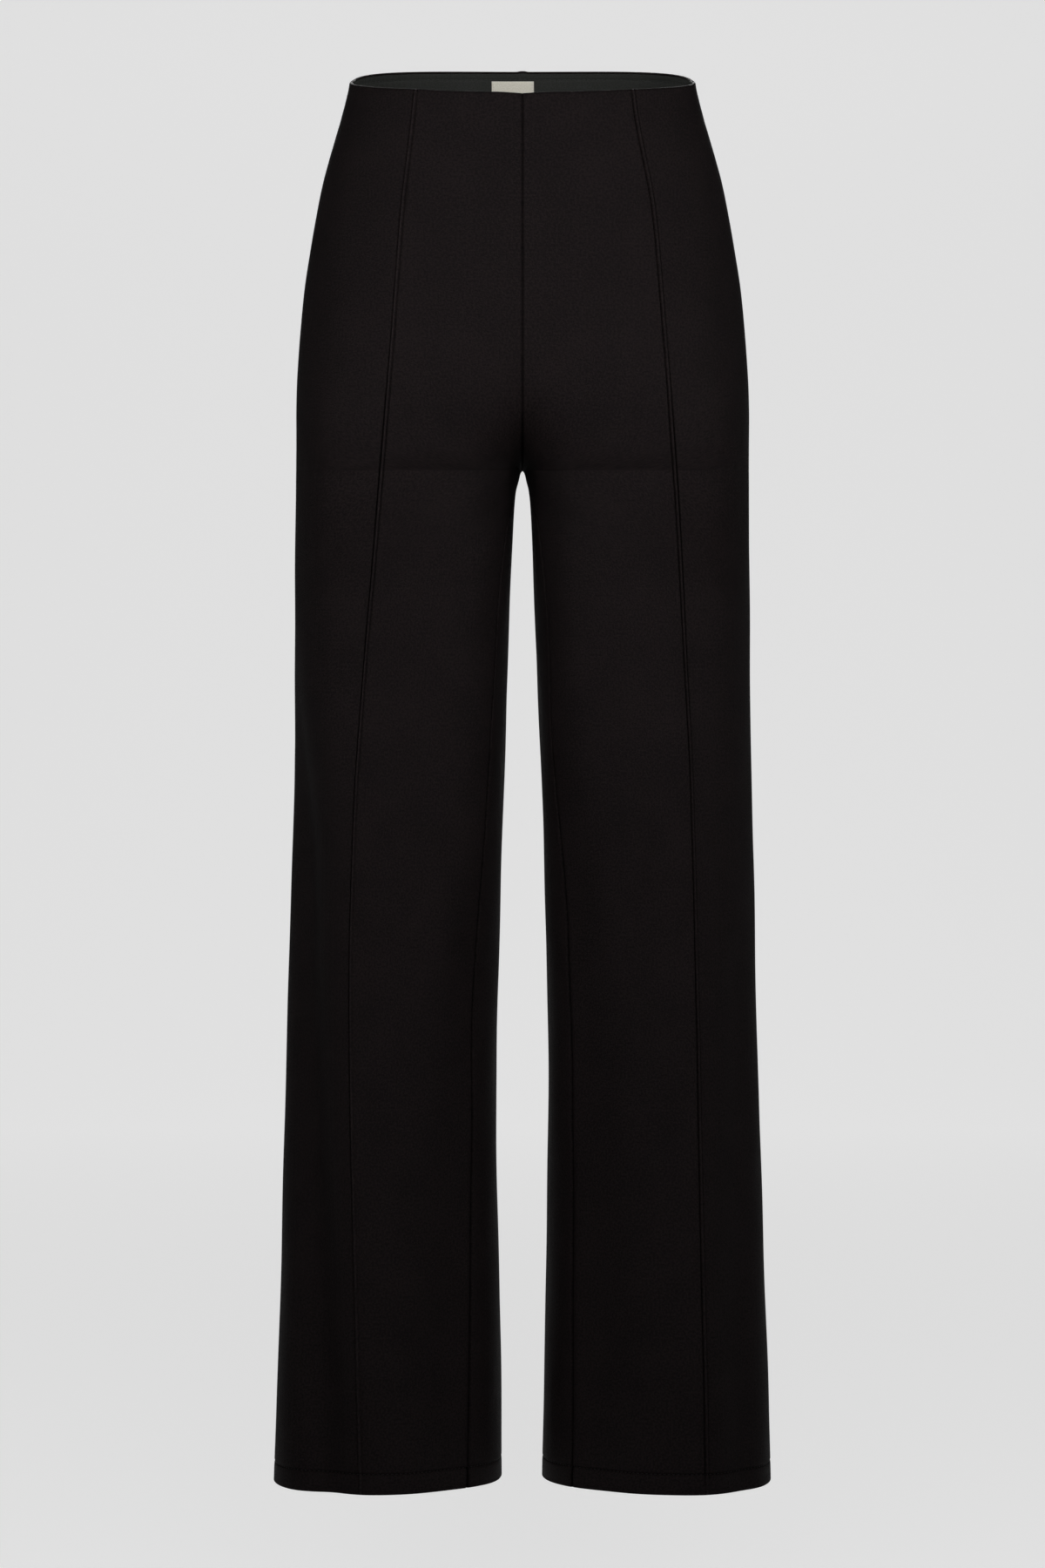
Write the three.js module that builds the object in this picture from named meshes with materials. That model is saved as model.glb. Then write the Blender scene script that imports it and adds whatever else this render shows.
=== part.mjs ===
// Palazzo pants: a high waist and long wide straight legs, filled out as if worn, hanging from the waist.
// Millimetres. +Z is up and the front faces -Y. Left and right are the wearer's, so left is at +X.
// The origin is the middle of the waist ring, at the height of the side seams.
import * as THREE from 'three';

// Cloth, and how close the pieces lie
const JERSEY = 1.3; // thickness of the trouser cloth
const FACING_CLOTH = 1.2;
const LABEL_CLOTH = 1;
const SEAM = 0.15; // each piece stops this far short of its seam line
const LAYER_SPACE = 0.3; // between two layers that lie on each other

// Levels
const CROTCH = -296;
const HEM = -1073;
const HEM_DEPTH = 16; // the cloth is turned up this far inside
const FACING_DROPS = [1.2, 22, 44]; // the facing lies between the first and the last, below the waist edge

// The waist edge sinks at the front and rises at the back
const FRONT_SINK = 11.8;
const FRONT_SINK_POWER = 2.2;
const SEAM_PULL = 1.9; // the centre-front seam draws the edge down a little more
const SEAM_PULL_SHARE = 0.07;
const BACK_RISE = 14;
const BACK_RISE_POWER = 3.6;

// Where the two leg rounds run into each other, their meeting line is this soft
const CLEFT = 4;

// The front of each leg leans outward by this much at the hem, starting below the crotch
const TOE_OUT = 9;
const TOE_OUT_START = -420;

// The pintuck down each front
const TUCK_HEIGHT = 1.2;
const TUCK_TOP_HALF = 0.9;
const TUCK_FOOT_HALF = 1.6;

// The label
const LABEL = { left: 11.6, right: -24.2, top: 7, bottom: -24 };

// Mesh counts
const ROWS_ABOVE = 11; // facing to crotch
const ROWS_BELOW = 21; // crotch to hem
const FRONT_INNER_STRIPS = 9;
const FRONT_OUTER_STRIPS = 8;
const BACK_STRIPS = 18;
const LABEL_STRIPS = 4;
const ARC_STEPS = 40;
const CROWD_ABOVE = 1.7; // rows crowd towards the crotch along the centre seams
const CROWD_BELOW = 1.6;

// A row per level of the form. side is half the width over both legs, front and back are the furthest
// points forward and back, and power is how square the rounds are. The gaps are half the space between
// the two leg rounds, seen from the front and from the back. Where a gap is below zero the rounds run
// into each other, and at minus side they are one.
const FORM = table(
  ['z', 'side', 'front', 'back', 'frontGap', 'backGap', 'power'],
  [
    [20, 130, -92, 84, -130, -130, 2.2],
    [0, 132.2, -94, 86, -132.2, -132.2, 2.2],
    [-25, 138.1, -98, 92, -138.1, -138.1, 2.22],
    [-50, 145.5, -102, 98.5, -145.5, -145.5, 2.25],
    [-77, 153, -105, 105.5, -153, -153, 2.3],
    [-104, 158.5, -108, 112, -158.5, -158.5, 2.33],
    [-131, 163.2, -110, 118, -163.2, -163.2, 2.36],
    [-157, 167.2, -112, 123.5, -167.2, -162, 2.4],
    [-184, 169.9, -113, 128, -150, -144, 2.48],
    [-211, 171.9, -114, 130.5, -100, -101, 2.6],
    [-236, 173.2, -114, 131, -56, -57, 2.75],
    [-258, 173.6, -113, 130, -26.5, -27, 2.9],
    [-277, 173.6, -111.5, 128, -8.5, -8, 3],
    [-288, 173.6, -110.5, 126.5, -0.6, -0.4, 3.1],
    [CROTCH, 173.6, -110, 125, CLEFT, CLEFT, 3.1],
    [-304, 173.7, -109.7, 124, 5.2, 5.2, 3.1],
    [-312, 173.7, -109.4, 122.7, 6.5, 6.5, 3.08],
    [-330, 173.8, -108.5, 120, 7.7, 7.7, 3],
    [-352, 173.9, -107.5, 117, 8.6, 8.6, 2.95],
    [-405, 174.2, -105, 111, 10.5, 10.5, 2.8],
    [-486, 175, -100, 104, 13, 13, 2.65],
    [-620, 177.9, -95, 97, 17.6, 17.6, 2.45],
    [-754, 181.3, -91.5, 92, 20.6, 20.6, 2.32],
    [-888, 185, -90, 89, 19.5, 19.5, 2.22],
    [-1000, 188.6, -91, 88, 17.5, 17.5, 2.18],
    [-1085, 191, -92, 88, 16.8, 16.8, 2.15],
  ],
);

// Degrees round each leg from its innermost line towards the front, where its inseam lies
const INSEAM = table(
  ['z', 'left', 'right'],
  [
    [CROTCH, 0, 0],
    [-332, 17, 21],
    [-380, 26, 36],
    [-422, 31, 40],
    [-539, 37, 42],
    [-705, 42.5, 43],
    [-841, 43, 43],
    [-941, 44, 46],
    [-1085, 43.8, 46.6],
  ],
);

// Degrees round the form from its innermost line over the front, where the side seam lies
const SIDE_SEAM = table(['z', 'turn'], [[20, 182], [-150, 184], [CROTCH, 188], [-600, 195], [-1085, 198]]);

// How far each pintuck lies from the middle
const TUCK = table(
  ['z', 'left', 'right'],
  [
    [20, 82, 79],
    [-10, 83.3, 80.5],
    [-104, 99, 90.5],
    [-191, 106.5, 97],
    [-264, 112, 103],
    [-358, 118.5, 111],
    [-446, 122.5, 118.5],
    [-539, 126.5, 124],
    [-703, 130.5, 128.5],
    [-941, 135.5, 125],
    [-1085, 139.5, 122.5],
  ],
);

// Soft folds down the legs. Each runs from a turn in degrees at its top to one at its bottom. A depth
// below zero is a trough. Those whose bottom lies under the hem run out through it.
const FOLDS = rowsOf(
  ['leg', 'top', 'topTurn', 'bottom', 'bottomTurn', 'width', 'depth'],
  [
    ['right', -400, 138, -1040, 100, 17, 4],
    ['right', -470, 147, -1250, 104, 22, -7.5],
    ['right', -600, 82, -1250, 72, 26, -4],
    ['right', -310, 262, -1010, 255, 26, 3],
    ['right', -400, 236, -1250, 226, 26, -4],
    ['right', -520, 292, -1250, 301, 28, -3.5],
    ['left', -360, 92, -1080, 105, 26, 4.5],
    ['left', -600, 65, -1250, 62, 32, -5.5],
    ['left', -560, 128, -1250, 124, 18, 1.5],
    ['left', -340, 278, -960, 270, 24, 3],
    ['left', -430, 251, -1250, 243, 28, -4],
    ['left', -600, 306, -1250, 310, 26, -2.5],
    ['left', -480, 214, -1250, 209, 24, 2],
  ],
);
const FOLD_FADE = 170; // each fold comes and goes over this height

const jersey = new THREE.MeshStandardMaterial({ color: 0x1c1718, roughness: 0.88, metalness: 0 });
const facingCloth = new THREE.MeshStandardMaterial({ color: 0x2a2c29, roughness: 0.8, metalness: 0 });
const labelCloth = new THREE.MeshStandardMaterial({ color: 0xd8d4c6, roughness: 0.75, metalness: 0 });

// A list of arrays as a list of objects with named values
function rowsOf(names, rows) {
  return rows.map((row) => Object.fromEntries(names.map((name, index) => [name, row[index]])));
}

// Each column after the first as a smooth function of the first one, which only rises between its rows
// where they rise, and stays level past its ends
function table(names, rows) {
  const sorted = [...rows].sort((one, other) => one[0] - other[0]);
  const at = sorted.map((row) => row[0]);
  const columns = {};
  names.slice(1).forEach((name, index) => {
    columns[name] = monotoneCurve(at, sorted.map((row) => row[index + 1]));
  });
  return columns;
}

function monotoneCurve(at, values) {
  const last = at.length - 1;
  const steps = at.slice(1).map((position, index) => position - at[index]);
  const slopes = steps.map((step, index) => (values[index + 1] - values[index]) / step);
  const tangents = at.map((_, index) => {
    if (index === 0) return slopes[0];
    if (index === last) return slopes[last - 1];
    const before = slopes[index - 1];
    const after = slopes[index];
    if (before * after <= 0) return 0;
    const weightBefore = 2 * steps[index] + steps[index - 1];
    const weightAfter = steps[index] + 2 * steps[index - 1];
    return (weightBefore + weightAfter) / (weightBefore / before + weightAfter / after);
  });
  return (position) => {
    if (position <= at[0]) return values[0];
    if (position >= at[last]) return values[last];
    const index = at.findIndex((next) => next > position) - 1;
    const step = steps[index];
    const t = (position - at[index]) / step;
    const rise = t * t * (3 - 2 * t);
    const leave = t * (1 - t) * (1 - t);
    const arrive = t * t * (t - 1);
    return (
      values[index] * (1 - rise) +
      values[index + 1] * rise +
      step * (tangents[index] * leave + tangents[index + 1] * arrive)
    );
  };
}

function mix(from, to, share) {
  return from + (to - from) * share;
}

function ease(share) {
  const t = Math.min(Math.max(share, 0), 1);
  return t * t * (3 - 2 * t);
}

function radians(degrees) {
  return (degrees * Math.PI) / 180;
}

// One leg round at a level, for its front and its back: its middle, its half width and half depth, and
// how far its front leans out
function roundsAt(z) {
  const side = FORM.side(z);
  const front = FORM.front(z);
  const back = FORM.back(z);
  const shared = {
    y: (front + back) / 2,
    depth: (back - front) / 2,
    power: FORM.power(z),
    lean: TOE_OUT * ease((TOE_OUT_START - z) / (TOE_OUT_START - HEM)),
  };
  const withGap = (gap) => ({ ...shared, x: (side + gap) / 2, width: (side - gap) / 2 });
  return { front: withGap(FORM.frontGap(z)), back: withGap(FORM.backGap(z)) };
}

function roundAtTurn(rounds, turn) {
  return Math.sin(turn) >= 0 ? rounds.front : rounds.back;
}

// Distance from the middle of a round to its edge. A turn of 0 is the innermost line and 90 degrees is
// the front.
function reach(leg, turn) {
  const across = Math.abs(Math.cos(turn) / leg.width) ** leg.power;
  const along = Math.abs(Math.sin(turn) / leg.depth) ** leg.power;
  return (across + along) ** (-1 / leg.power);
}

function pointOnRound(rounds, turn) {
  const leg = roundAtTurn(rounds, turn);
  const distance = reach(leg, turn);
  const x = leg.x - distance * Math.cos(turn);
  const y = leg.y - distance * Math.sin(turn);
  const parted = Math.sqrt(Math.max(x * x - CLEFT * CLEFT, 0));
  const leaning = parted + (leg.lean * (leg.y - y)) / leg.depth;
  return { x: Math.max(leaning, SEAM), y };
}

// The turn at which a round is x from the middle of the garment, on its front or its back
function turnAtX(rounds, x, half) {
  const leg = rounds[half];
  const sign = half === 'front' ? 1 : -1;
  let forward = 1;
  let turn = 0;
  for (let pass = 0; pass < 3; pass += 1) {
    const parted = Math.hypot(x - sign * leg.lean * forward, CLEFT);
    const across = Math.min(Math.max((leg.x - parted) / leg.width, -1), 1);
    forward = (1 - Math.abs(across) ** leg.power) ** (1 / leg.power);
    turn = Math.atan2(leg.depth * forward, leg.width * across);
  }
  return half === 'front' ? turn : 2 * Math.PI - turn;
}

// Zero on the form, from the size of the rounds at that level
function formValue(x, y, z) {
  const rounds = roundsAt(z);
  const leg = y < rounds.front.y ? rounds.front : rounds.back;
  const upright = x - (leg.lean * (leg.y - y)) / leg.depth;
  const across = Math.abs(Math.hypot(upright, CLEFT) - leg.x) / leg.width;
  const along = Math.abs(y - leg.y) / leg.depth;
  return across ** leg.power + along ** leg.power - 1;
}

function outward(x, y, z) {
  const step = 0.05;
  const slope = (dx, dy, dz) => formValue(x + dx, y + dy, z + dz) - formValue(x - dx, y - dy, z - dz);
  return new THREE.Vector3(slope(step, 0, 0), slope(0, step, 0), slope(0, 0, step)).normalize();
}

// Where a front or back panel starts at the middle or the inseam, and ends at the side seam
function panelTurns(rounds, z, side, half) {
  const seam = SEAM / rounds[half].width;
  const inseam = radians(z < CROTCH ? INSEAM[side](z) : 0);
  const sideSeam = radians(SIDE_SEAM.turn(z));
  const middle = turnAtX(rounds, SEAM, half);
  if (half === 'front') {
    return [z < CROTCH ? inseam + seam : Math.max(middle, seam), sideSeam - seam];
  }
  const end = z < CROTCH ? 2 * Math.PI + inseam - seam : Math.min(middle, 2 * Math.PI - seam);
  return [end, sideSeam + seam];
}

// The turn that lies a share of the way along the edge from one turn to another
function turnAtShare(rounds, from, to, share) {
  if (share <= 0 || share >= 1) return share <= 0 ? from : to;
  const lengths = [0];
  let previous = pointOnRound(rounds, from);
  for (let step = 1; step <= ARC_STEPS; step += 1) {
    const next = pointOnRound(rounds, mix(from, to, step / ARC_STEPS));
    lengths.push(lengths[step - 1] + Math.hypot(next.x - previous.x, next.y - previous.y));
    previous = next;
  }
  const wanted = share * lengths[ARC_STEPS];
  const step = lengths.findIndex((length) => length > wanted);
  const part = (wanted - lengths[step - 1]) / (lengths[step] - lengths[step - 1]);
  return mix(from, to, (step - 1 + part) / ARC_STEPS);
}

// How far the soft folds move the cloth out at a place on one leg
function foldDepth(rounds, side, turn, z) {
  const leg = roundAtTurn(rounds, turn);
  const radius = (leg.width + leg.depth) / 2;
  let depth = 0;
  for (const fold of FOLDS) {
    if (fold.leg === side && z < fold.top && z > fold.bottom) {
      const share = (fold.top - z) / (fold.top - fold.bottom);
      const middle = radians(mix(fold.topTurn, fold.bottomTurn, share));
      const full = (2 * Math.PI + turn - middle + Math.PI) % (2 * Math.PI);
      const away = ((full - Math.PI) * radius) / fold.width;
      const fade = ease((fold.top - z) / FOLD_FADE) * ease((z - fold.bottom) / FOLD_FADE);
      depth += fold.depth * fade * Math.exp(-away * away);
    }
  }
  return depth;
}

// Height of the waist edge, a share of the way from the centre seam to the side seam
function waistHeight(share, half) {
  if (half === 'back') return BACK_RISE * (1 - share ** BACK_RISE_POWER);
  const pull = SEAM_PULL * Math.exp(-((share / SEAM_PULL_SHARE) ** 2));
  return -FRONT_SINK * (1 - share ** FRONT_SINK_POWER) - pull;
}

// The columns of a panel, from the middle to the side. Those of a front follow its pintuck.
function panelColumns(half) {
  const columns = [];
  if (half === 'back') {
    for (let strip = 0; strip <= BACK_STRIPS; strip += 1) {
      columns.push({ zone: 'whole', share: strip / BACK_STRIPS, place: strip / BACK_STRIPS });
    }
    return columns;
  }
  const tuckPlace = FRONT_INNER_STRIPS / (FRONT_INNER_STRIPS + FRONT_OUTER_STRIPS);
  for (let strip = 0; strip <= FRONT_INNER_STRIPS; strip += 1) {
    const share = strip / FRONT_INNER_STRIPS;
    columns.push({ zone: 'inner', share, place: share * tuckPlace });
  }
  for (const offset of [-TUCK_TOP_HALF, TUCK_TOP_HALF]) {
    columns.push({ zone: 'tuck', offset, place: tuckPlace });
  }
  for (let strip = 0; strip <= FRONT_OUTER_STRIPS; strip += 1) {
    const share = strip / FRONT_OUTER_STRIPS;
    columns.push({ zone: 'outer', share, place: mix(tuckPlace, 1, share) });
  }
  return columns;
}

function columnTurn(column, rounds, z, side, half) {
  const [start, end] = panelTurns(rounds, z, side, half);
  if (column.zone === 'whole') return turnAtShare(rounds, start, end, column.share);
  const tuck = turnAtX(rounds, TUCK[side](z), half);
  const radius = reach(rounds[half], tuck);
  if (column.zone === 'tuck') return tuck + column.offset / radius;
  const foot = TUCK_FOOT_HALF / radius;
  if (column.zone === 'inner') return turnAtShare(rounds, start, tuck - foot, column.share);
  return turnAtShare(rounds, tuck + foot, end, column.share);
}

// The rows of a panel: drops below the waist edge where the facing lies, then shares up from the crotch
// and down from it, with the layers of cloth there
function panelRows() {
  const rows = [0, ...FACING_DROPS].map((drop) => ({ drop, layers: 1 }));
  for (let row = ROWS_ABOVE - 1; row > 0; row -= 1) rows.push({ up: row / ROWS_ABOVE, layers: 1 });
  const height = CROTCH - HEM;
  const hemShare = 1 - HEM_DEPTH / height;
  for (let row = 0; row < ROWS_BELOW; row += 1) rows.push({ down: row / ROWS_BELOW, layers: 1 });
  rows.push({ down: hemShare - LAYER_SPACE / height, layers: 1, level: true });
  rows.push({ down: hemShare, layers: 2, level: true });
  rows.push({ down: 1, layers: 2, level: true });
  return rows;
}

function rowHeight(row, place, half) {
  if (row.drop !== undefined) return waistHeight(place, half) - row.drop;
  if (row.up !== undefined) {
    const share = mix(row.up ** CROWD_ABOVE, row.up, ease(place));
    return mix(CROTCH, waistHeight(place, half) - FACING_DROPS.at(-1), share);
  }
  const share = row.level ? row.down : mix(row.down ** CROWD_BELOW, row.down, ease(place));
  return mix(CROTCH, HEM, share);
}

// The places of a panel's cloth, a row for each level from the waist down, with the way out of the form
function panelPlaces(side, half) {
  const columns = panelColumns(half);
  return panelRows().map((row) => columns.map((column) => {
    const z = rowHeight(row, column.place, half);
    const rounds = roundsAt(z);
    const turn = columnTurn(column, rounds, z, side, half);
    const { x, y } = pointOnRound(rounds, turn);
    const normal = outward(x, y, z);
    const point = new THREE.Vector3(x, y, z).addScaledVector(normal, foldDepth(rounds, side, turn, z));
    return { point, normal, raised: column.zone === 'tuck' ? TUCK_HEIGHT : 0, layers: row.layers };
  }));
}

function inside(place, depth) {
  return place.point.clone().addScaledVector(place.normal, -depth);
}

function panel(side, half) {
  const places = panelPlaces(side, half);
  const outer = places.map((row) => row.map((place) => inside(place, -place.raised)));
  const inner = places.map((row) => row.map((place) => inside(place, JERSEY * place.layers)));
  return wall(outer, inner, side === 'left' ? 1 : -1);
}

// The facing of one half of the waist, from side seam to side seam, made from the points of its panels
function facing(half) {
  const [left, right] = ['left', 'right'].map((side) => panelPlaces(side, half));
  const layer = (depth) => FACING_DROPS.map((_, drop) => {
    const leftRow = left[drop + 1].map((place) => inside(place, depth));
    const rightRow = right[drop + 1].map((place) => inside(place, depth));
    rightRow.forEach((point) => point.setX(-point.x));
    leftRow[0].setX(0);
    return [...leftRow.reverse(), ...rightRow.slice(1)];
  });
  const depth = JERSEY + LAYER_SPACE;
  return wall(layer(depth), layer(depth + FACING_CLOTH), 1);
}

// A point on the back of the waist form, inside the trouser cloth by a given depth
function backPointInside(x, z, depth) {
  const rounds = roundsAt(z);
  const place = pointOnRound(rounds, turnAtX(rounds, Math.abs(x), 'back'));
  const point = new THREE.Vector3(place.x, place.y, z);
  point.addScaledVector(outward(point.x, point.y, z), -depth);
  return point.setX(Math.sign(x) * point.x);
}

// The label lies on the inner side of the back facing, below its stitching
function label() {
  const depth = JERSEY + LAYER_SPACE + FACING_CLOTH + LAYER_SPACE;
  const outer = [];
  const inner = [];
  for (const z of [LABEL.top, (LABEL.top + LABEL.bottom) / 2, LABEL.bottom]) {
    const across = Array.from({ length: LABEL_STRIPS + 1 }, (_, strip) =>
      mix(LABEL.right, LABEL.left, strip / LABEL_STRIPS));
    outer.push(across.map((x) => backPointInside(x, z, depth)));
    inner.push(across.map((x) => backPointInside(x, z, depth + LABEL_CLOTH)));
  }
  return wall(outer, inner, 1);
}

// A closed wall between two grids of points, mirrored in X where mirror is -1
function wall(outer, inner, mirror) {
  const rows = outer.length;
  const columns = outer[0].length;
  const positions = [];
  for (const grid of [outer, inner]) {
    for (const point of grid.flat()) positions.push(point.x * mirror, point.y, point.z);
  }
  const outerAt = (row, column) => row * columns + column;
  const innerAt = (row, column) => rows * columns + outerAt(row, column);
  const faces = [];
  const quad = (a, b, c, d) => faces.push([a, b, c], [a, c, d]);
  for (let row = 0; row < rows - 1; row += 1) {
    for (let column = 0; column < columns - 1; column += 1) {
      const next = [row + 1, column + 1];
      quad(outerAt(row, column), outerAt(next[0], column), outerAt(...next), outerAt(row, next[1]));
      quad(innerAt(row, column), innerAt(row, next[1]), innerAt(...next), innerAt(next[0], column));
    }
  }
  const rim = [];
  for (let column = 0; column < columns; column += 1) rim.push([0, column]);
  for (let row = 1; row < rows; row += 1) rim.push([row, columns - 1]);
  for (let column = columns - 2; column >= 0; column -= 1) rim.push([rows - 1, column]);
  for (let row = rows - 2; row > 0; row -= 1) rim.push([row, 0]);
  rim.forEach((spot, index) => {
    const next = rim[(index + 1) % rim.length];
    quad(outerAt(...spot), outerAt(...next), innerAt(...next), innerAt(...spot));
  });
  const flip = signedVolume(positions, faces) < 0;
  const indices = faces.flatMap((face) => (flip ? [face[0], face[2], face[1]] : face));
  const geometry = new THREE.BufferGeometry();
  geometry.setAttribute('position', new THREE.Float32BufferAttribute(positions, 3));
  geometry.setIndex(indices);
  geometry.computeVertexNormals();
  return geometry;
}

function signedVolume(positions, faces) {
  const corner = (index) => new THREE.Vector3().fromArray(positions, index * 3);
  return faces.reduce((sum, [a, b, c]) => sum + corner(a).dot(corner(b).cross(corner(c))) / 6, 0);
}

function named(name, geometry, material) {
  const mesh = new THREE.Mesh(geometry, material);
  mesh.name = name;
  return mesh;
}

const pants = new THREE.Group();
for (const half of ['front', 'back']) {
  for (const side of ['left', 'right']) {
    pants.add(named(`${half}_${side}`, panel(side, half), jersey));
  }
  pants.add(named(`facing_${half}`, facing(half), facingCloth));
}
pants.add(named('label', label(), labelCloth));

export default pants;
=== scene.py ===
"""Dresses the palazzo pants for their picture: jersey, seams, stitches, waist facing, label and studio.

Lengths are in metres. +Z is up, the front faces -Y, and left and right are the wearer's, so left lies at
+X. Every piece of cloth is made on one form, the filled-out shape that hangs from the waist ring.
"""

import logging
import math
from dataclasses import dataclass, field, replace
from enum import Enum
from typing import Sequence

import bpy
import numpy as np
from mathutils import Euler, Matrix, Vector


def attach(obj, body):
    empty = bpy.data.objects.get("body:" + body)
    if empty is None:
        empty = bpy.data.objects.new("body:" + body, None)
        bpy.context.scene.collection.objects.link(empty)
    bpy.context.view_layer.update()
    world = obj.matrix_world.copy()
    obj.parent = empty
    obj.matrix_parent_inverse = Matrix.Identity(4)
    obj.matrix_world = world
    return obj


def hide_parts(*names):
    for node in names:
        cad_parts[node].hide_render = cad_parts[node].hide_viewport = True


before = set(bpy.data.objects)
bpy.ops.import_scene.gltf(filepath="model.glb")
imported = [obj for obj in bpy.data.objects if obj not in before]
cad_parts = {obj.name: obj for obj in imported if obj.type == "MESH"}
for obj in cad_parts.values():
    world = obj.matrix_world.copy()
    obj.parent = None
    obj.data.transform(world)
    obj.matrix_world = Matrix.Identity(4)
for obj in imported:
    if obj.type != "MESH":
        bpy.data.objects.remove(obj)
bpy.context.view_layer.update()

LOG = logging.getLogger("palazzo_pants")

# Levels
CROTCH = -0.296
HEM = -1.073
FACING_DEPTH = 0.044

# Cloth
JERSEY_THICK = 0.0013
FACING_THICK = 0.0010
LABEL_THICK = 0.0005
LAYER_SPACE = 0.0002

Triple = tuple[float, float, float]
ON_MIDDLE = 1e-6
OFF_STEP = 0.001


class Side(Enum):
    """Which of the wearer's legs, with the sign of X there."""

    LEFT = 1
    RIGHT = -1

    @property
    def key(self) -> str:
        """Name of this side in tables and pieces."""
        return self.name.lower()


class Half(Enum):
    """Front or back of the garment, with the sign of the way towards the front."""

    FRONT = 1
    BACK = -1

    @property
    def key(self) -> str:
        """Name of this half in tables and pieces."""
        return self.name.lower()


class Zone(Enum):
    """Stretch of a panel between two of its lines."""

    WHOLE = "seam to seam"
    INNER = "middle to pintuck"
    TUCK = "across the pintuck"
    OUTER = "pintuck to side seam"


class Level(Enum):
    """Where the height of a row of points is counted from."""

    DROP = "down from the waist edge"
    UP = "share of the way from the crotch to the facing's foot"
    DOWN = "share of the way from the crotch to the hem fold"
    LIFT = "up from the hem"


def ease(share: np.ndarray | float) -> np.ndarray | float:
    """Turns a share from 0 to 1 into one that starts and ends softly."""
    t = np.clip(share, 0.0, 1.0)
    return t * t * (3.0 - 2.0 * t)


def mix(start: np.ndarray | float, end: np.ndarray | float, share: np.ndarray | float) -> np.ndarray | float:
    """Goes from start to end by a share."""
    return start + (end - start) * share


def bump(distance: np.ndarray, width: float) -> np.ndarray:
    """Soft bell of height 1 at distance 0."""
    return np.exp(-((distance / width) ** 2))


def unit(vectors: np.ndarray) -> np.ndarray:
    """The vectors with a length of 1."""
    return vectors / np.linalg.norm(vectors, axis=-1, keepdims=True)


def run_lengths(points: np.ndarray) -> np.ndarray:
    """Length along each row of points from its first one."""
    steps = np.linalg.norm(np.diff(points, axis=-2), axis=-1)
    return np.concatenate([np.zeros((*steps.shape[:-1], 1)), np.cumsum(steps, axis=-1)], axis=-1)


class Table:
    """Named columns over one coordinate, each a smooth curve that never overshoots its rows."""

    def __init__(self, names: Sequence[str], rows: Sequence[Sequence[float]]) -> None:
        """Sorts the rows and works out each column's tangents.

        Args:
            names: names of the columns, the first being the coordinate.
            rows: one row of values for each place.
        """
        values = np.array(sorted(rows), dtype=float)
        self.at = values[:, 0]
        self.columns = {
            name: (values[:, index + 1], self._tangents(self.at, values[:, index + 1]))
            for index, name in enumerate(names[1:])
        }

    @staticmethod
    def _tangents(at: np.ndarray, values: np.ndarray) -> np.ndarray:
        """Slopes at the rows, zero where the column turns.

        Args:
            at: places of the rows.
            values: the column's values there.

        Returns:
            One slope for each row.
        """
        steps = np.diff(at)
        slopes = np.diff(values) / steps
        tangents = np.zeros_like(values)
        tangents[0], tangents[-1] = slopes[0], slopes[-1]
        before, after = slopes[:-1], slopes[1:]
        weight_before = 2.0 * steps[1:] + steps[:-1]
        weight_after = steps[1:] + 2.0 * steps[:-1]
        same = before * after > 0
        safe_before = np.where(same, before, 1.0)
        safe_after = np.where(same, after, 1.0)
        middle = (weight_before + weight_after) / (weight_before / safe_before + weight_after / safe_after)
        tangents[1:-1] = np.where(same, middle, 0.0)
        return tangents

    def __call__(self, name: str, place: np.ndarray) -> np.ndarray:
        """Reads a column at some places.

        Args:
            name: the column.
            place: where to read it; past the ends it stays level.

        Returns:
            The column's values there.
        """
        values, tangents = self.columns[name]
        x = np.clip(place, self.at[0], self.at[-1])
        index = np.clip(np.searchsorted(self.at, x, side="right") - 1, 0, len(self.at) - 2)
        step = self.at[index + 1] - self.at[index]
        t = (x - self.at[index]) / step
        rise = t * t * (3.0 - 2.0 * t)
        leave = t * (1.0 - t) ** 2
        arrive = t * t * (t - 1.0)
        line = values[index] * (1.0 - rise) + values[index + 1] * rise
        return line + step * (tangents[index] * leave + tangents[index + 1] * arrive)


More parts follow.
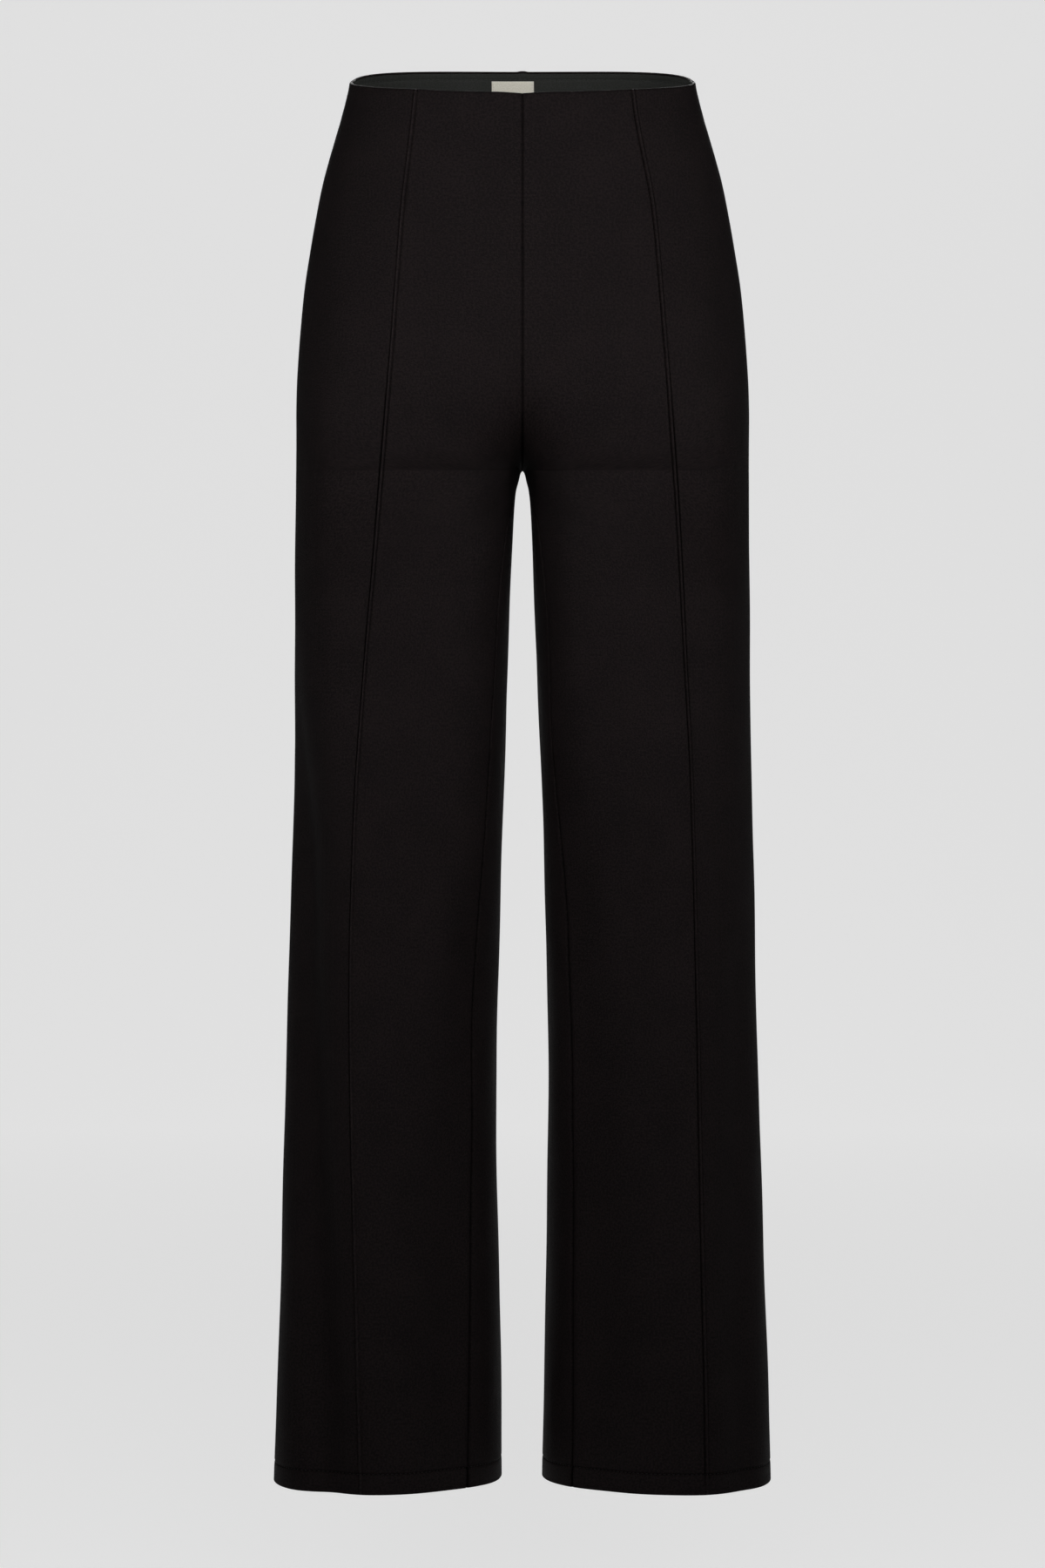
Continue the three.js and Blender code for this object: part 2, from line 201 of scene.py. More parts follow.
# Half the width over both legs, the furthest points forward and back, half the space between the two leg
# rounds seen from the front and from the back, and how square the rounds are. Where a gap is below zero the
# rounds run into each other, and at minus side they are one.
FORM_ROWS = Table(
    ("z", "side", "front", "back", "front_gap", "back_gap", "power"),
    (
        (0.020, 0.1300, -0.0920, 0.0840, -0.1300, -0.1300, 2.20),
        (0.000, 0.1322, -0.0940, 0.0860, -0.1322, -0.1322, 2.20),
        (-0.025, 0.1381, -0.0980, 0.0920, -0.1381, -0.1381, 2.22),
        (-0.050, 0.1455, -0.1020, 0.0985, -0.1455, -0.1455, 2.25),
        (-0.077, 0.1530, -0.1050, 0.1055, -0.1530, -0.1530, 2.30),
        (-0.104, 0.1585, -0.1080, 0.1120, -0.1585, -0.1585, 2.33),
        (-0.131, 0.1632, -0.1100, 0.1180, -0.1632, -0.1632, 2.36),
        (-0.157, 0.1672, -0.1120, 0.1235, -0.1672, -0.1620, 2.40),
        (-0.184, 0.1699, -0.1130, 0.1280, -0.1500, -0.1440, 2.48),
        (-0.211, 0.1719, -0.1140, 0.1305, -0.1000, -0.1010, 2.60),
        (-0.236, 0.1732, -0.1140, 0.1310, -0.0560, -0.0570, 2.75),
        (-0.258, 0.1736, -0.1130, 0.1300, -0.0265, -0.0270, 2.90),
        (-0.277, 0.1736, -0.1119, 0.1280, -0.0085, -0.0080, 3.00),
        (-0.288, 0.1736, -0.1113, 0.1265, -0.0006, -0.0004, 3.10),
        (CROTCH, 0.1736, -0.1109, 0.1250, 0.0040, 0.0040, 3.10),
        (-0.304, 0.1737, -0.1105, 0.1240, 0.0052, 0.0052, 3.10),
        (-0.312, 0.1737, -0.1101, 0.1227, 0.0065, 0.0065, 3.08),
        (-0.330, 0.1738, -0.1092, 0.1200, 0.0077, 0.0077, 3.00),
        (-0.352, 0.1739, -0.1080, 0.1170, 0.0086, 0.0086, 2.95),
        (-0.405, 0.1742, -0.1050, 0.1110, 0.0105, 0.0105, 2.80),
        (-0.486, 0.1750, -0.1000, 0.1040, 0.0130, 0.0130, 2.65),
        (-0.620, 0.1779, -0.0950, 0.0970, 0.0176, 0.0176, 2.45),
        (-0.754, 0.1813, -0.0915, 0.0920, 0.0206, 0.0206, 2.32),
        (-0.888, 0.1850, -0.0900, 0.0890, 0.0195, 0.0195, 2.22),
        (-1.000, 0.1886, -0.0910, 0.0880, 0.0175, 0.0175, 2.18),
        (-1.085, 0.1910, -0.0920, 0.0880, 0.0168, 0.0168, 2.15),
    ),
)

# Degrees round each leg from its innermost line towards the front, where its inseam lies
INSEAM_ROWS = Table(
    ("z", "left", "right"),
    (
        (CROTCH, 0.0, 0.0),
        (-0.338, 38.0, 37.5),
        (-0.405, 42.0, 42.5),
        (-0.539, 39.0, 43.0),
        (-0.706, 37.5, 38.5),
        (-0.807, 35.8, 36.5),
        (-0.907, 34.8, 36.0),
        (-1.008, 34.5, 37.0),
        (-1.085, 34.3, 38.4),
    ),
)

# Degrees round the form from its innermost line over the front, where the side seam lies
SIDE_SEAM_ROWS = Table(
    ("z", "turn"),
    ((0.020, 182.0), (-0.150, 184.0), (CROTCH, 188.0), (-0.600, 195.0), (-1.085, 198.0)),
)

# How far each pintuck lies from the middle
TUCK_ROWS = Table(
    ("z", "left", "right"),
    (
        (0.020, 0.0820, 0.0790),
        (-0.010, 0.0833, 0.0805),
        (-0.104, 0.0990, 0.0905),
        (-0.191, 0.1065, 0.0970),
        (-0.264, 0.1120, 0.1030),
        (-0.358, 0.1185, 0.1110),
        (-0.446, 0.1225, 0.1185),
        (-0.539, 0.1265, 0.1240),
        (-0.703, 0.1305, 0.1285),
        (-0.941, 0.1355, 0.1250),
        (-1.085, 0.1395, 0.1225),
    ),
)


@dataclass(frozen=True)
class Fold:
    """Soft ridge, or a trough where its depth is below zero, down one leg.

    Its middle goes from a turn in degrees at its top to one at its bottom.
    """

    side: Side
    top: float
    top_turn: float
    bottom: float
    bottom_turn: float
    width: float
    depth: float


FOLDS = (
    Fold(Side.RIGHT, -0.400, 114.0, -1.120, 90.0, 0.024, 0.0065),
    Fold(Side.RIGHT, -0.430, 150.0, -1.220, 106.0, 0.021, -0.0100),
    Fold(Side.RIGHT, -0.560, 48.0, -1.190, 52.0, 0.032, -0.0078),
    Fold(Side.RIGHT, -0.310, 262.0, -1.010, 255.0, 0.026, 0.0030),
    Fold(Side.RIGHT, -0.400, 236.0, -1.250, 226.0, 0.026, -0.0040),
    Fold(Side.RIGHT, -0.520, 292.0, -1.250, 301.0, 0.028, -0.0035),
    Fold(Side.LEFT, -0.360, 94.0, -1.140, 106.0, 0.024, 0.0078),
    Fold(Side.LEFT, -0.480, 54.0, -1.190, 52.0, 0.034, -0.0092),
    Fold(Side.LEFT, -0.560, 134.0, -1.190, 130.0, 0.018, -0.0038),
    Fold(Side.LEFT, -0.340, 278.0, -0.960, 270.0, 0.024, 0.0030),
    Fold(Side.LEFT, -0.430, 251.0, -1.250, 243.0, 0.028, -0.0040),
    Fold(Side.LEFT, -0.600, 306.0, -1.250, 310.0, 0.026, -0.0025),
    Fold(Side.LEFT, -0.480, 214.0, -1.250, 209.0, 0.024, 0.0020),
)


# Slight waves of cloth that hangs freely: depth, beats along X, Y and Z, and phase
WAVES = (
    (0.00030, (61.0, 23.0, 17.0), 0.4),
    (0.00024, (-37.0, 71.0, 29.0), 1.9),
    (0.00018, (113.0, -47.0, 9.0), 3.1),
    (0.00014, (83.0, 97.0, -53.0), 5.2),
)


@dataclass(frozen=True)
class TuckLook:
    """Depth of the creases beside one pintuck, which also sets the shade painted into them, and strength of
    the highlight painted on its edge.

    Each goes from a share at the thigh to one at the lower leg. At the hem a share of both creases is left.
    """

    outer_high: float
    outer_low: float
    inner_high: float
    inner_low: float
    hem_left: float
    rub_high: float
    rub_low: float


# The legs differ because the shade painted beside each pintuck and the highlight painted on its edge follow
# where light and shade fall on that leg
TUCK_LOOKS = {
    Side.RIGHT: TuckLook(0.80, 1.00, 0.35, 0.10, 0.15, 0.44, 0.55),
    Side.LEFT: TuckLook(0.80, 0.35, 0.55, 0.80, 0.65, 0.25, 0.25),
}


@dataclass
class Rounds:
    """The two leg rounds at some levels, for their front and back halves."""

    x_front: np.ndarray
    x_back: np.ndarray
    width_front: np.ndarray
    width_back: np.ndarray
    y: np.ndarray
    depth: np.ndarray
    power: np.ndarray
    lean: np.ndarray

    def halved(self, front: np.ndarray) -> tuple[np.ndarray, np.ndarray]:
        """Middle and half width of the rounds.

        Args:
            front: true where the front half is meant.

        Returns:
            The distance of the middle from the garment's middle, and the half width.
        """
        return np.where(front, self.x_front, self.x_back), np.where(front, self.width_front, self.width_back)


@dataclass
class Form:
    """The filled-out shape of the trousers, from the waist ring to the hems."""

    cleft: float = 0.004
    toe_out: float = 0.009
    toe_out_start: float = -0.420
    front_sink: float = 0.0118
    front_sink_power: float = 2.2
    seam_pull: float = 0.0010
    seam_pull_share: float = 0.07
    back_rise: float = 0.0144
    back_rise_power: float = 3.6
    side_rise: float = 0.0018
    seam_bump: float = 0.0006
    seam_bump_share: float = 0.012
    side_rise_power: int = 4
    fold_fade: float = 0.170
    loose_from: float = -0.05
    loose_over: float = 0.3
    arc_steps: int = 56
    normal_step: float = 0.00005
    turn_tries: int = 3

    def rounds(self, z: np.ndarray) -> Rounds:
        """The leg rounds at some levels.

        Args:
            z: levels.

        Returns:
            The rounds.
        """
        side, front, back = (FORM_ROWS(name, z) for name in ("side", "front", "back"))
        front_gap, back_gap = FORM_ROWS("front_gap", z), FORM_ROWS("back_gap", z)
        leaning = ease((self.toe_out_start - z) / (self.toe_out_start - HEM))
        return Rounds(
            x_front=(side + front_gap) / 2.0,
            x_back=(side + back_gap) / 2.0,
            width_front=(side - front_gap) / 2.0,
            width_back=(side - back_gap) / 2.0,
            y=(front + back) / 2.0,
            depth=(back - front) / 2.0,
            power=FORM_ROWS("power", z),
            lean=self.toe_out * leaning,
        )

    @staticmethod
    def reach(rounds: Rounds, turn: np.ndarray) -> np.ndarray:
        """Distance from the middle of a round to its edge.

        Args:
            rounds: the leg rounds.
            turn: radians from the innermost line over the front.

        Returns:
            The distances.
        """
        _, width = rounds.halved(np.sin(turn) >= 0)
        across = np.abs(np.cos(turn) / width) ** rounds.power
        along = np.abs(np.sin(turn) / rounds.depth) ** rounds.power
        return (across + along) ** (-1.0 / rounds.power)

    def point(self, rounds: Rounds, turn: np.ndarray) -> tuple[np.ndarray, np.ndarray]:
        """Place on the form of the left leg.

        Args:
            rounds: the leg rounds.
            turn: radians from the innermost line over the front.

        Returns:
            X, which is never below zero, and Y.
        """
        middle, _ = rounds.halved(np.sin(turn) >= 0)
        distance = self.reach(rounds, turn)
        x = middle - distance * np.cos(turn)
        y = rounds.y - distance * np.sin(turn)
        parted = np.sqrt(np.maximum(x * x - self.cleft**2, 0.0))
        return np.maximum(parted + rounds.lean * (rounds.y - y) / rounds.depth, 0.0), y

    def turn_at_x(self, rounds: Rounds, x: np.ndarray | float, half: Half) -> np.ndarray:
        """Turn at which a round is x from the garment's middle.

        Args:
            rounds: the leg rounds.
            x: distance from the middle.
            half: front or back.

        Returns:
            The turns in radians.
        """
        middle, width = rounds.halved(np.full(np.shape(rounds.y), half is Half.FRONT))
        forward = np.ones_like(rounds.y)
        turn = forward
        for _ in range(self.turn_tries):
            parted = np.hypot(x - half.value * rounds.lean * forward, self.cleft)
            across = np.clip((middle - parted) / width, -1.0, 1.0)
            forward = (1.0 - np.abs(across) ** rounds.power) ** (1.0 / rounds.power)
            turn = np.arctan2(rounds.depth * forward, width * across)
        return turn if half is Half.FRONT else 2.0 * math.pi - turn

    def value(self, x: np.ndarray, y: np.ndarray, z: np.ndarray) -> np.ndarray:
        """Tells the outside of the form from its inside.

        Args:
            x: distances from the middle.
            y: distances back.
            z: levels.

        Returns:
            1 on the form, more outside it and less inside.
        """
        rounds = self.rounds(z)
        middle, width = rounds.halved(y < rounds.y)
        upright = x - rounds.lean * (rounds.y - y) / rounds.depth
        across = np.abs(np.hypot(upright, self.cleft) - middle) / width
        along = np.abs(y - rounds.y) / rounds.depth
        return across**rounds.power + along**rounds.power

    def outward(self, x: np.ndarray, y: np.ndarray, z: np.ndarray) -> np.ndarray:
        """The way out of the form at some of its points.

        Args:
            x: distances from the middle.
            y: distances back.
            z: levels.

        Returns:
            The ways as unit vectors.
        """
        e = self.normal_step
        slopes = [
            self.value(x + dx, y + dy, z + dz) - self.value(x - dx, y - dy, z - dz)
            for dx, dy, dz in ((e, 0.0, 0.0), (0.0, e, 0.0), (0.0, 0.0, e))
        ]
        return unit(np.stack(slopes, axis=-1))

    def inside(
        self, rounds: Rounds, turn: np.ndarray, z: np.ndarray, depth: np.ndarray | float, right: np.ndarray
    ) -> np.ndarray:
        """Places inward of the form by a depth.

        Args:
            rounds: the leg rounds at z.
            turn: turns in radians.
            z: levels.
            depth: distances inward.
            right: true where the place is on the wearer's right.

        Returns:
            The points.
        """
        x, y = self.point(rounds, turn)
        point = np.stack([x, y, z], axis=-1) - self.outward(x, y, z) * np.asarray(depth)[..., None]
        point[..., 0] *= np.where(right, -1.0, 1.0)
        return point

    def waist_height(self, share: np.ndarray, half: Half) -> np.ndarray:
        """Height of the waist edge.

        Args:
            share: share of the way from the centre seam to the side seam.
            half: front or back.

        Returns:
            The heights.
        """
        side = self.side_rise * share**self.side_rise_power
        if half is Half.BACK:
            ridge = self.seam_bump * bump(share, self.seam_bump_share)
            return self.back_rise * (1.0 - share**self.back_rise_power) + ridge + side
        pull = self.seam_pull * bump(share, self.seam_pull_share)
        return -self.front_sink * (1.0 - share**self.front_sink_power) - pull + side

    def panel_turns(
        self, rounds: Rounds, z: np.ndarray, side: Side, half: Half
    ) -> tuple[np.ndarray, np.ndarray]:
        """Where a panel starts, at the middle or the inseam, and ends, at the side seam.

        Args:
            rounds: the leg rounds at z.
            z: levels.
            side: which leg.
            half: front or back.

        Returns:
            The two turns in radians.
        """
        below = z < CROTCH
        inseam = np.where(below, np.radians(INSEAM_ROWS(side.key, z)), 0.0)
        middle = self.turn_at_x(rounds, 0.0, half)
        side_seam = np.radians(SIDE_SEAM_ROWS("turn", z))
        if half is Half.FRONT:
            return np.where(below, inseam, middle), side_seam
        return np.where(below, 2.0 * math.pi + inseam, middle), side_seam

    def turn_at_length(
        self,
        rounds: Rounds,
        start: np.ndarray,
        end: np.ndarray,
        base: np.ndarray,
        share: np.ndarray,
        margin: float,
    ) -> np.ndarray:
        """Turn at a length along the edge of a round.

        Args:
            rounds: the leg rounds.
            start: turn where the length starts.
            end: turn where the edge ends.
            base: length from the start.
            share: share of the edge, less the margin, that is added to the base.
            margin: length of the edge that the shares leave out.

        Returns:
            The turns in radians.
        """
        steps = np.linspace(0.0, 1.0, self.arc_steps + 1).reshape(-1, *([1] * np.ndim(start)))
        turns = start + (end - start) * steps
        x, y = self.point(rounds, turns)
        pieces = np.hypot(np.diff(x, axis=0), np.diff(y, axis=0))
        lengths = np.concatenate([np.zeros((1, *pieces.shape[1:])), np.cumsum(pieces, axis=0)])
        wanted = np.clip(base + share * (lengths[-1] - margin), 0.0, lengths[-1])
        index = np.clip((lengths <= wanted).sum(axis=0) - 1, 0, self.arc_steps - 1)[None]
        low = np.take_along_axis(lengths, index, axis=0)[0]
        high = np.take_along_axis(lengths, index + 1, axis=0)[0]
        part = (wanted - low) / np.maximum(high - low, 1e-12)
        return start + (end - start) * (index[0] + part) / self.arc_steps

    def fold_depth(self, rounds: Rounds, side: Side, turn: np.ndarray, z: np.ndarray) -> np.ndarray:
        """How far the soft folds move the cloth out.

        Args:
            rounds: the leg rounds at z.
            side: which leg.
            turn: turns in radians.
            z: levels.

        Returns:
            The depths.
        """
        _, width = rounds.halved(np.sin(turn) >= 0)
        radius = (width + rounds.depth) / 2.0
        depth = np.zeros_like(z)
        for fold in FOLDS:
            if fold.side is not side:
                continue
            share = np.clip((fold.top - z) / (fold.top - fold.bottom), 0.0, 1.0)
            middle = np.radians(mix(fold.top_turn, fold.bottom_turn, share))
            away = (np.mod(turn - middle + math.pi, 2.0 * math.pi) - math.pi) * radius
            fade = ease((fold.top - z) / self.fold_fade) * ease((z - fold.bottom) / self.fold_fade)
            depth += fold.depth * fade * bump(away, fold.width)
        return depth

    def unevenness(self, x: np.ndarray, y: np.ndarray, z: np.ndarray) -> np.ndarray:
        """Slight waviness of cloth that hangs freely.

        Args:
            x: X of the points.
            y: Y of the points.
            z: Z of the points.

        Returns:
            How far the cloth moves out.
        """
        total = sum(size * np.sin(kx * x + ky * y + kz * z + phase) for size, (kx, ky, kz), phase in WAVES)
        return total * ease((self.loose_from - z) / self.loose_over)


@dataclass(frozen=True)
class Column:
    """One line of points down a panel: a length from its zone's start and a share of the zone."""

    zone: Zone
    base: float
    share: float
    place: float


@dataclass(frozen=True)
class Row:
    """One line of points across a panel."""

    level: Level
    amount: float


@dataclass
class ClothGrid:
    """Places of a piece of cloth in rows and columns, before any thickness."""

    point: np.ndarray
    normal: np.ndarray
    lift: np.ndarray
    drop: np.ndarray
    across: np.ndarray
    down: np.ndarray

    def moved(self, distance: np.ndarray | float) -> np.ndarray:
        """The points moved out by a distance."""
        return self.point + self.normal * np.asarray(distance)[..., None]


class MeshBuilder:
    """Collects grids and faces with their cloth coordinates, and makes one mesh object of them."""

    def __init__(self) -> None:
        """Starts with nothing."""
        self.points: list[np.ndarray] = []
        self.coordinates: list[np.ndarray] = []
        # Painted shade of each point, and painted highlight where below zero
        self.creases: list[np.ndarray] = []
        self.faces: list[list[int]] = []
        self.count = 0

    def add_points(
        self, points: np.ndarray, coordinates: np.ndarray, crease: np.ndarray | None = None
    ) -> np.ndarray:
        """Adds points with cloth coordinates.

        Args:
            points: array of places, the last axis being X, Y and Z.
            coordinates: array of the same shape but for its last axis, across and down the cloth.
            crease: from 0 to 1 for how much shade is painted into the colour at each point, or below zero
                where a highlight is painted; 0 everywhere if left out.

        Returns:
            The points' indices, in the shape of the array.
        """
        shape = points.shape[:-1]
        size = int(np.prod(shape))
        self.points.append(points.reshape(-1, 3))
        self.coordinates.append(coordinates.reshape(-1, 2))
        self.creases.append(np.zeros(size) if crease is None else crease.reshape(-1))
        indices = np.arange(self.count, self.count + size).reshape(shape)
        self.count += size
        return indices

    def add_quads(self, a: np.ndarray, b: np.ndarray, c: np.ndarray, d: np.ndarray) -> None:
        """Adds faces between four arrays of indices, as triangles where two corners are one point.

        Args:
            a: first corners of the faces.
            b: second corners.
            c: third corners.
            d: fourth corners.
        """
        for corners in np.stack([a, b, c, d], axis=-1).reshape(-1, 4).tolist():
            face = [corner for place, corner in enumerate(corners) if corner != corners[place - 1]]
            if len(face) > 2:
                self.faces.append(face)

    def add_shell(self, outer: np.ndarray, inner: np.ndarray) -> None:
        """Closes two grids of indices into one wall.

        Args:
            outer: indices of the outer grid.
            inner: indices of the inner one, whose first and last rows may be those of the outer one.
        """
        self.add_quads(outer[:-1, :-1], outer[1:, :-1], outer[1:, 1:], outer[:-1, 1:])
        self.add_quads(inner[:-1, :-1], inner[:-1, 1:], inner[1:, 1:], inner[1:, :-1])
        self.add_quads(outer[:-1, 0], inner[:-1, 0], inner[1:, 0], outer[1:, 0])
        self.add_quads(outer[:-1, -1], outer[1:, -1], inner[1:, -1], inner[:-1, -1])
        self.add_quads(outer[0, :-1], outer[0, 1:], inner[0, 1:], inner[0, :-1])
        self.add_quads(outer[-1, :-1], inner[-1, :-1], inner[-1, 1:], outer[-1, 1:])

    def build(self, name: str, material: bpy.types.Material, mirror: bool, sharp: float) -> bpy.types.Object:
        """Makes the mesh object.

        Args:
            name: name of the piece.
            material: its finish.
            mirror: whether X is turned round.
            sharp: angle in degrees above which an edge is sharp.

        Returns:
            The object, linked to the scene.
        """
        points = np.concatenate(self.points)
        if mirror:
            points = points * np.array([-1.0, 1.0, 1.0])
        faces = [face[::-1] for face in self.faces] if mirror else self.faces
        mesh = bpy.data.meshes.new(name)
        mesh.from_pydata(points.tolist(), [], faces)
        coordinates = np.concatenate(self.coordinates)
        corner_points = np.zeros(len(mesh.loops), dtype=np.int32)
        mesh.loops.foreach_get("vertex_index", corner_points)
        layer = mesh.uv_layers.new(name="cloth")
        layer.uv.foreach_set("vector", coordinates[corner_points].astype(np.float32).ravel())
        # Painted shade and painted highlight, which scale the finishes' colour and specular level
        crease = mesh.attributes.new("crease", "FLOAT", "POINT")
        crease.data.foreach_set("value", np.concatenate(self.creases).astype(np.float32))
        mesh.polygons.foreach_set("use_smooth", np.ones(len(mesh.polygons), dtype=bool))
        mesh.set_sharp_from_angle(angle=math.radians(sharp))
        mesh.materials.append(material)
        mesh.update()
        piece = bpy.data.objects.new(name, mesh)
        bpy.context.scene.collection.objects.link(piece)
        return piece


@dataclass
class TrouserPanel:
    """One front or back of the trousers, from the waist edge to the hem in one piece of jersey."""

    form: Form
    side: Side
    half: Half

    # Columns and rows of points; the widths are those that share out the columns' places along the waist
    seam_margins: tuple[float, ...] = (0.0, 0.0004, 0.0009, 0.0015, 0.0023, 0.0034, 0.0050, 0.0070, 0.0090)
    tuck_steps: tuple[float, ...] = (
        0.0003, 0.0006, 0.0009, 0.0011, 0.0013, 0.0015, 0.0017, 0.0020, 0.0026, 0.0036,
    )
    inner_strips: int = 26
    outer_strips: int = 24
    back_strips: int = 62
    rows_facing: int = 9
    rows_above: int = 74
    rows_below: int = 132
    facing_start: float = 0.010
    crowd_above: float = 1.7
    crowd_below: float = 1.6
    tuck_place: float = 9.0 / 17.0
    back_width: float = 0.20
    inner_width: float = 0.161
    outer_width: float = 0.244

    # Pintuck; a turn or fade is the level where it starts and the length it takes
    tuck_height: float = 0.0014
    tuck_half: float = 0.0011
    tuck_groove: float = 0.0020
    groove_place: float = 0.0015
    groove_width: float = 0.0004
    groove_turn: tuple[float, float] = (-0.35, 0.40)
    groove_fade: tuple[float, float] = (-0.60, 0.42)
    groove_end: float = 0.020
    tuck_swell: float = 0.0006
    tuck_swell_width: float = 0.0065
    tuck_ends: tuple[float, float] = (0.004, 0.003)
    # Painted highlight on the pintuck's edge: where it grows stronger, and its width
    rub_turn: tuple[float, float] = (-0.55, 0.45)
    rub_width: float = 0.0007

    # Waist roll and hem; the shade painted along the hem's stitching, the hem's fold and the waist roll's
    # edge is given by its share and its width, a blend by its start past the edge and its length
    roll_thick: float = 0.0026
    roll_height: float = 0.0013
    roll_end: float = 0.0014
    roll_blend: tuple[float, float] = (0.0004, 0.0006)
    roll_crease: tuple[float, float] = (0.6, 0.0014)
    hem_depth: float = 0.016
    hem_blend: tuple[float, float] = (0.0003, 0.0004)
    hem_crease: tuple[float, float] = (0.6, 0.0007)
    fold_crease: tuple[float, float] = (0.3, 0.0009)
    hem_zone: float = 0.022
    hem_press: float = 0.0008
    hem_press_width: float = 0.0008

    # Seams; the dip is the share that the inner seam loses at the crotch and over which height
    seam_groove: float = 0.0022
    seam_width: float = 0.0010
    seam_dip: tuple[float, float] = (0.75, 0.014)
    seam_swell: float = 0.00015
    seam_swell_edge: tuple[float, float] = (0.003, 0.005)
    centre_seam: float = 0.4
    centre_fade: float = 0.05
    # Width of the shade painted along each seam
    crease_width: float = 0.0012
    pucker: float = 0.00016
    pucker_beats: Triple = (470.0, 61.0, 23.0)
    pucker_fade: float = 0.007
    side_phase: float = 2.1
    allowance: float = 0.009
    allowance_thick: float = 0.0010
    seam_turn: float = 0.0010
    seam_turn_back: float = 0.2
    hem_clear: float = 0.002
    inner_dip: tuple[float, float] = (0.0002, 0.001)
    sharp: float = 70.0

    # Evening of the cloth where the legs part
    bridge_reach: float = 0.080
    bridge_spread: float = 0.016
    bridge_start: float = 0.010
    bridge_blend: float = 0.040
    bridge_steps: int = 9
    bridge_span: float = 2.0

    @property
    def tuck_offsets(self) -> tuple[float, ...]:
        """Distances of the columns over the pintuck from its edge."""
        return (*(-step for step in reversed(self.tuck_steps)), 0.0, *self.tuck_steps)

    @property
    def name(self) -> str:
        """Name of the CAD node that this panel stands for."""
        return f"{self.half.key}_{self.side.key}"

    def columns(self) -> list[Column]:
        """Lines of points down the panel, close together at its seams and over its pintuck.

        Returns:
            The columns, from the middle to the side.
        """
        margins = self.seam_margins
        edge = margins[-1]
        if self.half is Half.BACK:
            rim = edge / self.back_width
            starts = [Column(Zone.WHOLE, m, 0.0, m / self.back_width) for m in margins[:-1]]
            middle = [
                Column(Zone.WHOLE, edge, share, mix(rim, 1.0 - rim, share))
                for share in (k / self.back_strips for k in range(self.back_strips + 1))
            ]
            ends = [
                Column(Zone.WHOLE, 2.0 * edge - m, 1.0, 1.0 - m / self.back_width) for m in margins[-2::-1]
            ]
            return starts + middle + ends
        foot = self.tuck_offsets[-1]
        inner_edge, tuck_edge = edge / self.inner_width, foot / self.outer_width
        tuck_start, tuck_end = self.tuck_place - tuck_edge, self.tuck_place + tuck_edge
        outer_end = 1.0 - edge / self.outer_width
        starts = [Column(Zone.INNER, m, 0.0, m / self.inner_width) for m in margins[:-1]]
        inner = [
            Column(Zone.INNER, edge, share, mix(inner_edge, tuck_start, share))
            for share in (k / self.inner_strips for k in range(self.inner_strips))
        ]
        tuck = [
            Column(Zone.TUCK, offset, 0.0, self.tuck_place + offset / self.outer_width)
            for offset in self.tuck_offsets
        ]
        outer = [
            Column(Zone.OUTER, foot, share, mix(tuck_end, outer_end, share))
            for share in (k / self.outer_strips for k in range(1, self.outer_strips + 1))
        ]
        ends = [
            Column(Zone.OUTER, foot + edge - m, 1.0, 1.0 - m / self.outer_width) for m in margins[-2::-1]
        ]
        return starts + inner + tuck + outer + ends

    def rows(self) -> list[Row]:
        """Lines of points across the panel, close together at its edges.

        Returns:
            The rows, from the waist down.
        """
        near_edge = (0.0, 0.0001, 0.0003, 0.0006, 0.0010, 0.0014, 0.0018, 0.0024, 0.0034, 0.0050, 0.0070)
        rows = [Row(Level.DROP, drop) for drop in near_edge]
        drops = np.linspace(self.facing_start, FACING_DEPTH, self.rows_facing)
        rows += [Row(Level.DROP, drop) for drop in drops]
        rows += [Row(Level.UP, k / self.rows_above) for k in range(self.rows_above - 1, 0, -1)]
        rows += [Row(Level.DOWN, k / self.rows_below) for k in range(self.rows_below)]
        fold = self.hem_depth
        lifts = (
            self.hem_zone, fold + 0.0040, fold + 0.0024, fold + 0.0014, fold + 0.0009, fold + 0.0005,
            fold, fold - 0.0005, fold - 0.0012, 0.0130, 0.0110, 0.0080, 0.0055, 0.0035, 0.0022,
            0.0013, 0.0007, 0.0003, 0.0001, 0.0,
        )
        return rows + [Row(Level.LIFT, lift) for lift in lifts]

    def grid(self) -> ClothGrid:
        """Places the panel's cloth on the form.

        Returns:
            The grid of the left leg's side; the right leg's is mirrored when it is built.
        """
        columns, rows = self.columns(), self.rows()
        place = np.array([column.place for column in columns])[None, :].repeat(len(rows), axis=0)
        waist = self.form.waist_height(place, self.half)
        z = np.zeros_like(place)
        for index, row in enumerate(rows):
            if row.level is Level.DROP:
                z[index] = waist[index] - row.amount
            elif row.level is Level.UP:
                share = mix(row.amount**self.crowd_above, row.amount, ease(place[index]))
                z[index] = mix(CROTCH, waist[index] - FACING_DEPTH, share)
            elif row.level is Level.DOWN:
                share = mix(row.amount**self.crowd_below, row.amount, ease(place[index]))
                z[index] = mix(CROTCH, HEM + self.hem_zone, share)
            else:
                z[index] = HEM + row.amount
        rounds = self.form.rounds(z)
        turn = self._turns(columns, rounds, z)
        x, y = self.form.point(rounds, turn)
        normal = self.form.outward(x, y, z)
        y = self._bridged(x, y, z)
        point = np.stack([x, y, z], axis=-1)
        normal[..., 0] = np.where(x < ON_MIDDLE, 0.0, normal[..., 0])
        out = self.form.fold_depth(rounds, self.side, turn, z)
        out = out + self.form.unevenness(x * self.side.value, y, z)
        point = point + normal * out[..., None]
        return ClothGrid(point, normal, z - HEM, waist - z, run_lengths(point), -z)

